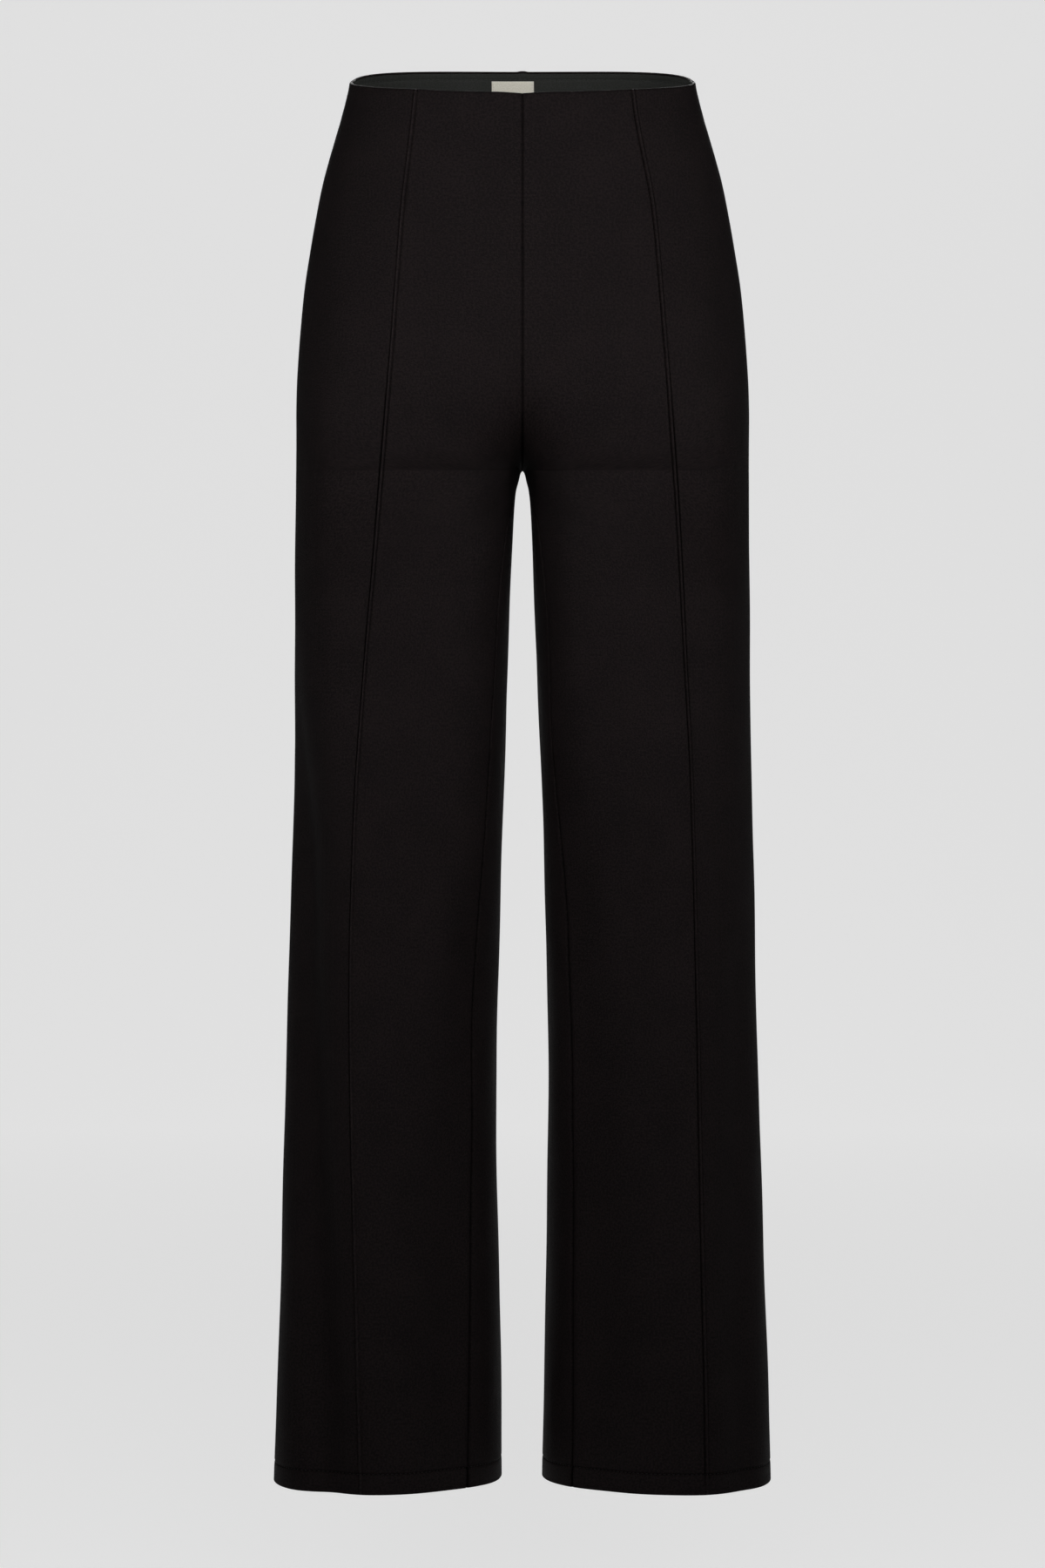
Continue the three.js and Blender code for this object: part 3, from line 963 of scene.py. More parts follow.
    def _bridged(self, x: np.ndarray, y: np.ndarray, z: np.ndarray) -> np.ndarray:
        """Lets the cloth pass evenly over the level at which the legs part, away from its seams.

        Args:
            x: distances from the middle.
            y: distances back.
            z: levels.

        Returns:
            The new distances back.
        """
        steps = np.linspace(-self.bridge_span, self.bridge_span, self.bridge_steps)
        weights = np.exp(-0.5 * steps**2)
        weights /= weights.sum()
        even = sum(
            weight * self._depth_at(x, z + step * self.bridge_spread) for weight, step in zip(weights, steps)
        )
        away = ease((x - self.bridge_start) / self.bridge_blend)
        away = away * ease((FORM_ROWS("side", z) - x) / self.bridge_blend)
        away = away * ease((self.bridge_reach - np.abs(z - CROTCH)) / (self.bridge_reach / 2.0))
        return y + (even - self._depth_at(x, z)) * away

    def _depth_at(self, x: np.ndarray, z: np.ndarray) -> np.ndarray:
        """Distances back of the form's front or back at distances from the middle and levels."""
        rounds = self.form.rounds(z)
        return self.form.point(rounds, self.form.turn_at_x(rounds, x, self.half))[1]

    def _turns(self, columns: list[Column], rounds: Rounds, z: np.ndarray) -> np.ndarray:
        """Turns of all points.

        Args:
            columns: the panel's columns.
            rounds: the leg rounds at z.
            z: levels of the points.

        Returns:
            The turns in radians.
        """
        start, end = self.form.panel_turns(rounds, z, self.side, self.half)
        base = np.array([column.base for column in columns])[None, :] + np.zeros_like(z)
        share = np.array([column.share for column in columns])[None, :] + np.zeros_like(z)
        edge = self.seam_margins[-1]
        if self.half is Half.BACK:
            return self.form.turn_at_length(rounds, start, end, base, share, 2.0 * edge)
        tuck = self.form.turn_at_x(rounds, TUCK_ROWS(self.side.key, z), self.half)
        foot = self.tuck_offsets[-1]
        inner = self.form.turn_at_length(rounds, start, tuck, base, share, edge + foot)
        outer = self.form.turn_at_length(rounds, tuck, end, base, share, edge + foot)
        over = tuck + base / self.form.reach(rounds, tuck)
        in_inner, in_outer = (
            np.array([column.zone is zone for column in columns])[None, :]
            for zone in (Zone.INNER, Zone.OUTER)
        )
        return np.where(in_inner, inner, np.where(in_outer, outer, over))

    def tuck_profile(self, grid: ClothGrid) -> np.ndarray:
        """Height of the pintuck over the cloth.

        Args:
            grid: the panel's places.

        Returns:
            How far each point moves out.
        """
        if self.half is Half.BACK:
            return np.zeros_like(grid.across)
        offset = self.tuck_offset(grid)
        ridge = np.sqrt(np.clip(1.0 - (offset / self.tuck_half) ** 2, 0.0, 1.0))
        groove = self.tuck_grooves(grid)
        swell = self.tuck_swell * bump(offset, self.tuck_swell_width)
        caught = ease(grid.drop / self.tuck_ends[0]) * ease(grid.lift / self.tuck_ends[1])
        return (self.tuck_height * ridge - self.tuck_groove * groove + swell) * caught

    def tuck_grooves(self, grid: ClothGrid) -> np.ndarray:
        """Depth of the two creases beside the pintuck, the outer and the inner one, which also sets the shade
        painted into them.

        Args:
            grid: the panel's places.

        Returns:
            A share from 0 to 1 for each point.
        """
        if self.half is Half.BACK:
            return np.zeros_like(grid.across)
        offset = self.tuck_offset(grid)
        look = TUCK_LOOKS[self.side]
        low = self.below(grid, self.groove_turn)
        place, width = self.groove_place, self.groove_width
        outer = mix(look.outer_high, look.outer_low, low) * bump(offset - place, width)
        inner = mix(look.inner_high, look.inner_low, low) * bump(offset + place, width)
        left = mix(1.0, look.hem_left, self.below(grid, self.groove_fade))
        return (outer + inner) * left * ease(grid.lift / self.groove_end)

    @staticmethod
    def below(grid: ClothGrid, turn: tuple[float, float]) -> np.ndarray:
        """Goes from 0 to 1 down a stretch, given by its top level and its length."""
        top, length = turn
        return ease((top + grid.down) / length)

    def centre_share(self, grid: ClothGrid) -> np.ndarray:
        """Strength of the inner seam, which is finer down the centre than along the legs.

        Args:
            grid: the panel's places.

        Returns:
            A share from 0 to 1 for each point.
        """
        return mix(1.0, self.centre_seam, ease((-grid.down - CROTCH) / self.centre_fade))

    def crease(self, grid: ClothGrid) -> np.ndarray:
        """Painted shade in the seams, beside the pintuck, in the hem's stitching and on the waist and hem
        edges, and painted highlight on the pintuck's edge.

        Returns:
            From 0 to 1 of painted shade for each point, or down to -1 where a highlight is painted on the
            pintuck's edge.
        """
        far = grid.across[:, -1:] - grid.across
        # Shade painted along both seams, beside the pintuck and on the hem and waist lines, less the
        # highlight painted on the pintuck's edge
        seams = bump(grid.across, self.crease_width) * self.centre_share(grid) + bump(far, self.crease_width)
        total = seams + self.tuck_grooves(grid) - self.tuck_rub(grid)
        for distance, (share, width) in (
            (grid.lift - self.hem_depth, self.hem_crease),
            (grid.lift, self.fold_crease),
            (grid.drop, self.roll_crease),
        ):
            total = total + share * bump(distance, width)
        return np.clip(total, -1.0, 1.0)

    def tuck_rub(self, grid: ClothGrid) -> np.ndarray:
        """Painted highlight on the pintuck's edge, where it catches light, strongest on the lower leg.

        Args:
            grid: the panel's places.

        Returns:
            A share from 0 to 1 for each point.
        """
        if self.half is Half.BACK:
            return np.zeros_like(grid.across)
        look = TUCK_LOOKS[self.side]
        highlight = mix(look.rub_high, look.rub_low, self.below(grid, self.rub_turn))
        return highlight * bump(self.tuck_offset(grid), self.rub_width)

    def tuck_offset(self, grid: ClothGrid) -> np.ndarray:
        """Distances from the pintuck's edge across a front panel."""
        middle = len(self.seam_margins) - 1 + self.inner_strips + len(self.tuck_offsets) // 2
        return grid.across - grid.across[:, middle : middle + 1]

    def seam_profile(self, grid: ClothGrid) -> np.ndarray:
        """Groove, swell and slight puckers along the panel's two seams.

        Args:
            grid: the panel's places.

        Returns:
            How far each point moves out.
        """
        total = np.zeros_like(grid.across)
        z = -grid.down
        lost, reach = self.seam_dip
        inner_share = self.centre_share(grid) * (1.0 - lost * bump(z - CROTCH, reach))
        past, fade = self.seam_swell_edge
        quick, drift, slow = self.pucker_beats
        for phase, distance, share in (
            (0.0, grid.across, inner_share),
            (self.side_phase, grid.across[:, -1:] - grid.across, np.ones_like(z)),
        ):
            groove = -self.seam_groove * share * bump(distance, self.seam_width)
            swell = self.seam_swell * ease((self.allowance + past - distance) / fade)
            beat = np.sin(z * quick + phase + 2.0 * np.sin(z * drift))
            beat = beat * (0.6 + 0.4 * np.sin(z * slow + phase))
            total += groove + swell + self.pucker * beat * np.exp(-distance / self.pucker_fade)
        return total

    def edge_round(self, grid: ClothGrid) -> tuple[np.ndarray, np.ndarray]:
        """Outer and inner offsets that roll the waist edge over and turn the hem up.

        Args:
            grid: the panel's places.

        Returns:
            The outer surface's offset and the inner surface's, both inward as negative numbers.
        """
        hem_thick = 2.0 * JERSEY_THICK
        top = np.clip(1.0 - grid.drop / self.roll_height, 0.0, 1.0)
        bottom = np.clip(1.0 - grid.lift / JERSEY_THICK, 0.0, 1.0)
        top_curve = (1.0 - np.sqrt(1.0 - top**2)) * self.roll_thick / 2.0
        hem_curve = (1.0 - np.sqrt(1.0 - bottom**2)) * hem_thick / 2.0
        rolled = ease((self.roll_end + self.roll_blend[0] - grid.drop) / self.roll_blend[1])
        turned = ease((self.hem_depth + self.hem_blend[0] - grid.lift) / self.hem_blend[1])
        inner = JERSEY_THICK + (self.roll_thick - JERSEY_THICK) * rolled + (hem_thick - JERSEY_THICK) * turned
        return -top_curve - hem_curve, -inner + top_curve + hem_curve

    def build(self, finish: "JerseyFinish") -> bpy.types.Object:
        """Makes the panel with its seam allowances.

        Args:
            finish: the jersey.

        Returns:
            The piece.
        """
        grid = self.grid()
        relief = self.tuck_profile(grid) + self.seam_profile(grid)
        hem_line = -self.hem_press * bump(grid.lift - self.hem_depth, self.hem_press_width)
        dip, dip_width = self.inner_dip
        round_outer, round_inner = self.edge_round(grid)
        coordinates = np.stack([grid.across, grid.down], axis=-1)
        builder = MeshBuilder()
        outer_points = grid.moved(relief + hem_line + round_outer)
        inner_points = grid.moved(round_inner - dip * bump(grid.across, dip_width))
        for points in (outer_points, inner_points):
            points[..., 0] = np.maximum(points[..., 0], 0.0)
        outer = builder.add_points(outer_points, coordinates, self.crease(grid))
        middle = builder.add_points(inner_points[1:-1], coordinates[1:-1])
        inner = np.concatenate([outer[:1], middle, outer[-1:]])
        builder.add_shell(outer, inner)
        self._add_allowances(builder, grid, coordinates)
        piece = builder.build(f"cloth_{self.name}", finish.material(), self.side is Side.RIGHT, self.sharp)
        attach(piece, "root")
        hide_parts(self.name)
        width = float(grid.across[:, -1].max())
        length = float(grid.down.max() - grid.down.min())
        LOG.info("%s: %d faces, cut %.3f by %.3f m", piece.name, len(piece.data.polygons), width, length)
        return piece

    def _add_allowances(self, builder: MeshBuilder, grid: ClothGrid, coordinates: np.ndarray) -> None:
        """Adds the pressed-open edges of the two seams, inside the panel.

        Args:
            builder: what the mesh is collected in.
            grid: the panel's places.
            coordinates: cloth coordinates of the places.
        """
        first = int((grid.drop[:, 0] < FACING_DEPTH).sum())
        last = int((grid.lift[:, 0] > self.hem_depth + self.hem_clear).sum())
        wide = len(self.seam_margins) - 1
        above = -grid.down[first:last, 0] > CROTCH
        for columns, edge, inward in ((slice(0, wide), 0, 1), (slice(-wide, None), -1, -2)):
            cut = (slice(first, last), columns)
            part = ClothGrid(*(values[cut] for values in (
                grid.point, grid.normal, grid.lift, grid.drop, grid.across, grid.down)))
            crosses = np.full_like(above, self.half is Half.FRONT)
            if edge == 0:
                crosses = np.where(above, self.side is Side.LEFT, crosses)
            way = unit(part.point[:, edge] - part.point[:, inward])
            part.point = part.point.copy()
            moves = np.where(crosses, self.seam_turn, -self.seam_turn * self.seam_turn_back)
            part.point[:, edge] += way * moves[:, None]
            near = JERSEY_THICK + LAYER_SPACE
            builder.add_shell(*(
                builder.add_points(part.moved(-depth), coordinates[cut])
                for depth in (near, near + self.allowance_thick)
            ))


@dataclass
class WaistFacing:
    """Strip of facing inside one half of the waist, from side seam to side seam."""

    form: Form
    half: Half
    strips: int = 120
    top_drop: float = 0.0017
    stitch_drop: float = 0.0062
    stitch_press: float = 0.00035
    stitch_press_width: float = 0.0012
    stitch_end: float = 0.99
    upper_rows: int = 14
    lower_rows: int = 22
    upper_end: float = 0.0020
    lower_start: float = 0.0035
    end_share: float = 0.998
    ripple: float = 0.00012
    ripple_waves: float = 180.0
    ripple_beats: Triple = (3.1, 1.3, 0.7)
    ripple_place: float = 0.006
    sharp: float = 50.0

    def places(self, drop: np.ndarray, share: np.ndarray, depth: np.ndarray | float) -> np.ndarray:
        """Places inside the waist.

        Args:
            drop: distances below the waist edge.
            share: shares of the way from the centre to a side seam, below zero on the right.
            depth: distances inward from the form.

        Returns:
            The points.
        """
        near = np.abs(share)
        z = self.form.waist_height(near, self.half) - drop
        rounds = self.form.rounds(z)
        start, end = self.form.panel_turns(rounds, z, Side.LEFT, self.half)
        turn = self.form.turn_at_length(rounds, start, end, np.zeros_like(z), near, 0.0)
        point = self.form.inside(rounds, turn, z, depth, share < 0)
        point[..., 0] = np.where(near < ON_MIDDLE, 0.0, point[..., 0])
        return point

    def build(self, finish: "FacingFinish") -> bpy.types.Object:
        """Makes the facing.

        Args:
            finish: the facing cloth.

        Returns:
            The piece.
        """
        drops = np.concatenate([
            np.linspace(self.top_drop, self.stitch_drop + self.upper_end, self.upper_rows),
            np.linspace(self.stitch_drop + self.lower_start, FACING_DEPTH, self.lower_rows),
        ])
        shares = np.linspace(-self.end_share, self.end_share, 2 * self.strips + 1)
        drop, share = np.meshgrid(drops, shares, indexing="ij")
        pressed = self.stitch_press * bump(drop - self.stitch_drop, self.stitch_press_width)
        along = share * self.ripple_waves
        quick, sway, slow = self.ripple_beats
        wave = self.ripple * np.sin(along * quick + sway * np.sin(along * slow))
        wave = wave * bump(drop - self.ripple_place, self.ripple_place)
        outer_depth = JERSEY_THICK + LAYER_SPACE
        outer_points = self.places(drop, share, np.full_like(drop, outer_depth))
        inner_points = self.places(drop, share, outer_depth + FACING_THICK - pressed + wave)
        across = run_lengths(outer_points)
        coordinates = np.stack([across, drop], axis=-1)
        builder = MeshBuilder()
        outer = builder.add_points(outer_points, coordinates)
        inner = builder.add_points(inner_points, coordinates)
        builder.add_shell(outer, inner)
        piece = builder.build(f"cloth_facing_{self.half.key}", finish.material(), False, self.sharp)
        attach(piece, "root")
        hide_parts(f"facing_{self.half.key}")
        length = float(across[:, -1].max())
        LOG.info("%s: %.3f m long", piece.name, length)
        return piece

    def stitch_path(self, count: int) -> tuple[np.ndarray, np.ndarray]:
        """Where the line of stitches lies on the facing.

        Args:
            count: number of points.

        Returns:
            The points and the way off the cloth at each.
        """
        share = np.linspace(-self.stitch_end, self.stitch_end, count)
        drop = np.full_like(share, self.stitch_drop)
        depth = JERSEY_THICK + LAYER_SPACE + FACING_THICK - self.stitch_press
        point = self.places(drop, share, depth)
        return point, unit(self.places(drop, share, depth + OFF_STEP) - point)


@dataclass
class WaistLabel:
    """Bare woven label sewn to the inner side of the back facing."""

    facing: WaistFacing
    left: float = 0.0089
    right: float = -0.0242
    top: float = 0.007
    bottom: float = -0.024
    rows: int = 40
    columns: int = 46
    swell: float = 0.0005
    swell_power: float = 0.7
    swell_top: float = 0.55
    rim_reach: float = 0.0358
    rim_height: float = 0.85
    rim_width: float = 0.0006
    rim_thin: float = 0.45
    stitch_inset: float = 0.0012
    stitch_end: float = 0.001
    stitch_lift: float = 0.00005
    sharp: float = 50.0

    def points(self, x: np.ndarray, z: np.ndarray, depth: np.ndarray | float) -> np.ndarray:
        """Places on the back, inward of the form by a depth.

        Args:
            x: distances from the middle.
            z: levels.
            depth: distances inward.

        Returns:
            The points.
        """
        form = self.facing.form
        rounds = form.rounds(z)
        return form.inside(rounds, form.turn_at_x(rounds, np.abs(x), Half.BACK), z, depth, x < 0)

    def build(self, finish: "LabelFinish") -> bpy.types.Object:
        """Makes the label.

        Args:
            finish: the woven ribbon.

        Returns:
            The piece.
        """
        levels = np.linspace(self.top, self.bottom, self.rows)
        z, x = np.meshgrid(levels, np.linspace(self.right, self.left, self.columns), indexing="ij")
        across = (x - self.right) / (self.left - self.right)
        down = (self.top - z) / (self.top - self.bottom)
        puff = self.swell * np.sin(math.pi * across) ** self.swell_power * mix(self.swell_top, 1.0, down)
        lie = JERSEY_THICK + LAYER_SPACE + FACING_THICK + LAYER_SPACE
        tall = self.rim_height
        edge = np.minimum.reduce([across, 1.0 - across, down * tall, (1.0 - down) * tall]) * self.rim_reach
        rounded = LABEL_THICK * mix(self.rim_thin, 1.0, ease(edge / self.rim_width))
        coordinates = np.stack([x - self.right, self.top - z], axis=-1)
        builder = MeshBuilder()
        outer = builder.add_points(self.points(x, z, lie + puff), coordinates)
        inner = builder.add_points(self.points(x, z, lie + puff + rounded), coordinates)
        builder.add_shell(outer, inner)
        piece = builder.build("cloth_label", finish.material(), False, self.sharp)
        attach(piece, "root")
        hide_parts("label")
        LOG.info("%s made", piece.name)
        return piece

    def stitch_paths(self) -> list[tuple[np.ndarray, np.ndarray]]:
        """Lines of stitches down the label's two short ends.

        Returns:
            For each line its points and the way off the cloth.
        """
        lines = []
        lie = JERSEY_THICK + 2.0 * LAYER_SPACE + FACING_THICK + LABEL_THICK + self.stitch_lift
        z = np.linspace(self.top - self.stitch_end, self.bottom + self.stitch_end, self.rows)
        for x_end in (self.left - self.stitch_inset, self.right + self.stitch_inset):
            x = np.full_like(z, x_end)
            point = self.points(x, z, lie)
            lines.append((point, unit(self.points(x, z, lie + OFF_STEP) - point)))
        return lines


@dataclass
class StitchLine:
    """A row of lock stitches, each a short arched stretch of thread."""

    name: str
    length: float = 0.0030
    gap: float = 0.0008
    radius: float = 0.00016
    arch: float = 0.00018
    sink: float = 0.00012
    sink_power: int = 8
    sides: int = 6
    taper: tuple[float, ...] = (0.45, 0.95, 1.0, 0.95, 0.45)
    girth: float = 6.0
    sharp: float = 60.0

    def build(
        self,
        paths: Sequence[tuple[np.ndarray, np.ndarray]],
        finish: "ThreadFinish",
        slot: str,
    ) -> bpy.types.Object:
        """Lays stitches along some lines.

        Args:
            paths: for each line its points and the way off the cloth at each.
            finish: the thread.
            slot: material slot that the thread goes with; not used.

        Returns:
            The piece.
        """
        builder = MeshBuilder()
        for points, off in paths:
            along = run_lengths(points)
            count = int(along[-1] / (self.length + self.gap))
            for stitch in range(count):
                start = (stitch + 0.5) * along[-1] / count - self.length / 2.0
                self._add_stitch(builder, points, off, along, start)
        piece = builder.build(self.name, finish.material(), False, self.sharp)
        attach(piece, "root")
        LOG.info("%s: %d faces", piece.name, len(piece.data.polygons))
        return piece

    def _add_stitch(
        self, builder: MeshBuilder, points: np.ndarray, off: np.ndarray, along: np.ndarray, start: float
    ) -> None:
        """Adds one stitch.

        Args:
            builder: what the mesh is collected in.
            points: the line.
            off: the way off the cloth along it.
            along: lengths along the line.
            start: length at which the stitch starts.
        """
        at = np.linspace(0.0, 1.0, len(self.taper))
        where = start + at * self.length
        middle, up = (
            np.stack([np.interp(where, along, values[:, axis]) for axis in range(3)], axis=-1)
            for values in (points, off)
        )
        side = np.cross(unit(middle[-1] - middle[0]), up)
        rise = self.arch * np.sin(math.pi * at) - self.sink * np.cos(math.pi * at) ** self.sink_power
        middle = middle + up * rise[:, None]
        thick = self.radius * np.array(self.taper)[:, None]
        angles = (2.0 * math.pi * k / self.sides for k in range(self.sides))
        rings = [middle + (side * math.cos(angle) + up * math.sin(angle)) * thick for angle in angles]
        around = np.arange(self.sides) / self.sides * self.radius * self.girth
        coordinates = np.stack(np.meshgrid(at * self.length, around, indexing="ij"), axis=-1)
        indices = builder.add_points(np.stack(rings, axis=1), coordinates)
        turned = np.roll(indices, -1, axis=1)
        builder.add_quads(indices[:-1], turned[:-1], turned[1:], indices[1:])
        builder.faces.append(indices[0].tolist())
        builder.faces.append(indices[-1][::-1].tolist())


class NodeSheet:
    """Short ways to add and join shader nodes."""

    def __init__(self, tree: bpy.types.NodeTree) -> None:
        """Keeps the tree that the nodes go into."""
        self.tree = tree

    def add(self, kind: str, inputs: dict[str, object] | None = None, **settings: object) -> bpy.types.Node:
        """Adds a node.

        Args:
            kind: its type.
            inputs: sockets or values for its inputs, by name.
            settings: properties of the node, set by name.

        Returns:
            The node.
        """
        node = self.tree.nodes.new(kind)
        for name, value in settings.items():
            setattr(node, name, value)
        self.feed(node, inputs or {})
        return node

    def feed(self, node: bpy.types.Node, inputs: dict[str, object]) -> None:
        """Joins sockets to a node's inputs, or gives the inputs values.

        Args:
            node: the node.
            inputs: sockets or values, by the inputs' names.
        """
        for name, value in inputs.items():
            if isinstance(value, bpy.types.NodeSocket):
                self.join(value, node.inputs[name])
            else:
                node.inputs[name].default_value = value

    def join(self, source: bpy.types.NodeSocket, target: bpy.types.NodeSocket) -> None:
        """Joins two sockets."""
        self.tree.links.new(source, target)

    def math(self, operation: str, *values: bpy.types.NodeSocket | float) -> bpy.types.NodeSocket:
        """Adds a sum.

        Args:
            operation: what to do.
            values: sockets or numbers.

        Returns:
            The result's socket.
        """
        node = self.add("ShaderNodeMath", operation=operation)
        for index, value in enumerate(values):
            if isinstance(value, bpy.types.NodeSocket):
                self.join(value, node.inputs[index])
            else:
                node.inputs[index].default_value = value
        return node.outputs[0]


@dataclass(frozen=True)
class Socket:
    """One input or output of a node group."""

    name: str
    kind: str
    value: float | tuple[float, ...] | None = None


def new_group(name: str, inputs: Sequence[Socket], outputs: Sequence[Socket]) -> tuple[NodeSheet, dict, dict]:
    """Starts a shader node group.

    Args:
        name: its name.
        inputs: its named inputs.
        outputs: its named outputs.

    Returns:
        The group's nodes, its input sockets by name and its output sockets by name.
    """
    tree = bpy.data.node_groups.new(name, "ShaderNodeTree")
    for sockets, way in ((inputs, "INPUT"), (outputs, "OUTPUT")):
        for socket in sockets:
            made = tree.interface.new_socket(name=socket.name, in_out=way, socket_type=socket.kind)
            if socket.value is not None:
                made.default_value = socket.value
    sheet = NodeSheet(tree)
    given, put = sheet.add("NodeGroupInput").outputs, sheet.add("NodeGroupOutput").inputs
    return sheet, {s.name: given[s.name] for s in inputs}, {s.name: put[s.name] for s in outputs}


# Shares of the knit's height and of the mottling, and the noise values between the two tones
LOOP_SHARE = 0.4
COURSE_SHARE = 0.25
COARSE_SHARE = 0.15
TONE_RANGE = (0.41, 0.59)


def knit_group() -> bpy.types.NodeTree:
    """Fine knit: wales down the cloth, courses across it and a loose nap over them.

    Returns:
        The node group, built once.
    """
    name = "fine_knit"
    if name in bpy.data.node_groups:
        return bpy.data.node_groups[name]
    sheet, given, put = new_group(
        name,
        (
            Socket("Vector", "NodeSocketVector"),
            Socket("Wale", "NodeSocketFloat", 0.0009),
            Socket("Course", "NodeSocketFloat", 0.0007),
            Socket("Nap Scale", "NodeSocketFloat", 900.0),
            Socket("Nap", "NodeSocketFloat", 0.6),
        ),
        (Socket("Height", "NodeSocketFloat"), Socket("Mask", "NodeSocketFloat")),
    )
    split = sheet.add("ShaderNodeSeparateXYZ", {"Vector": given["Vector"]})
    wale, course = (
        sheet.math("SINE", sheet.math("MULTIPLY", sheet.math("DIVIDE", way, given[size]), 2.0 * math.pi))
        for way, size in zip(split.outputs, ("Wale", "Course"))
    )
    course = sheet.math("MULTIPLY_ADD", course, COURSE_SHARE, 1.0 - COURSE_SHARE)
    loops = sheet.math("MULTIPLY", sheet.math("ABSOLUTE", wale), course)
    nap = sheet.add(
        "ShaderNodeTexNoise",
        {"Vector": given["Vector"], "Scale": given["Nap Scale"], "Detail": 4.0, "Roughness": 0.65},
        noise_dimensions="2D",
    )
    fuzz = sheet.math("MULTIPLY", nap.outputs[0], given["Nap"])
    sheet.join(sheet.math("ADD", sheet.math("MULTIPLY", loops, LOOP_SHARE), fuzz), put["Height"])
    sheet.join(nap.outputs[0], put["Mask"])
    return sheet.tree


def tone_group() -> bpy.types.NodeTree:
    """Soft mottling between two colours, coarse and fine together.

    Returns:
        The node group, built once.
    """
    name = "cloth_tone"
    if name in bpy.data.node_groups:
        return bpy.data.node_groups[name]
    sheet, given, put = new_group(
        name,
        (
            Socket("Vector", "NodeSocketVector"),
            Socket("Dark", "NodeSocketColor", (0.01, 0.01, 0.01, 1.0)),
            Socket("Light", "NodeSocketColor", (0.02, 0.02, 0.02, 1.0)),
            Socket("Coarse Scale", "NodeSocketFloat", 30.0),
            Socket("Fine Scale", "NodeSocketFloat", 600.0),
        ),
        (Socket("Color", "NodeSocketColor"), Socket("Mask", "NodeSocketFloat")),
    )
    coarse, fine = (
        sheet.add(
            "ShaderNodeTexNoise",
            {"Vector": given["Vector"], "Scale": given[scale], "Detail": detail, "Roughness": 0.6},
            noise_dimensions="2D",
        ).outputs[0]
        for scale, detail in (("Coarse Scale", 3.0), ("Fine Scale", 4.0))
    )
    coarse = sheet.math("MULTIPLY", coarse, COARSE_SHARE)
    both = sheet.math("ADD", coarse, sheet.math("MULTIPLY", fine, 1.0 - COARSE_SHARE))
    low, high = TONE_RANGE
    spread = sheet.add("ShaderNodeMapRange", {"Value": both, "From Min": low, "From Max": high}, clamp=True)
    colour = sheet.add("ShaderNodeMix", {"Factor": spread.outputs[0]}, data_type="RGBA")
    sheet.join(given["Dark"], colour.inputs[6])
    sheet.join(given["Light"], colour.inputs[7])
    sheet.join(colour.outputs[2], put["Color"])
    sheet.join(spread.outputs[0], put["Mask"])
    return sheet.tree


def crease_group() -> bpy.types.NodeTree:
    """Paints shade into a colour where cloth dips into a seam or a fold, and paints a highlight on the
    pintuck's edge.

    Returns:
        The node group, built once.
    """
    name = "crease_shade"
    if name in bpy.data.node_groups:
        return bpy.data.node_groups[name]
    sheet, given, put = new_group(
        name,
        (
            Socket("Color", "NodeSocketColor", (0.5, 0.5, 0.5, 1.0)),
            Socket("Crease", "NodeSocketFloat", 0.0),
            Socket("Depth", "NodeSocketFloat", 0.8),
        ),
        (Socket("Color", "NodeSocketColor"), Socket("Left", "NodeSocketFloat")),
    )
    left = sheet.math("SUBTRACT", 1.0, sheet.math("MULTIPLY", given["Crease"], given["Depth"]))
    shaded = sheet.add("ShaderNodeVectorMath", {"Scale": left}, operation="SCALE")
    sheet.join(given["Color"], shaded.inputs[0])
    sheet.join(shaded.outputs[0], put["Color"])
    sheet.join(left, put["Left"])
    return sheet.tree


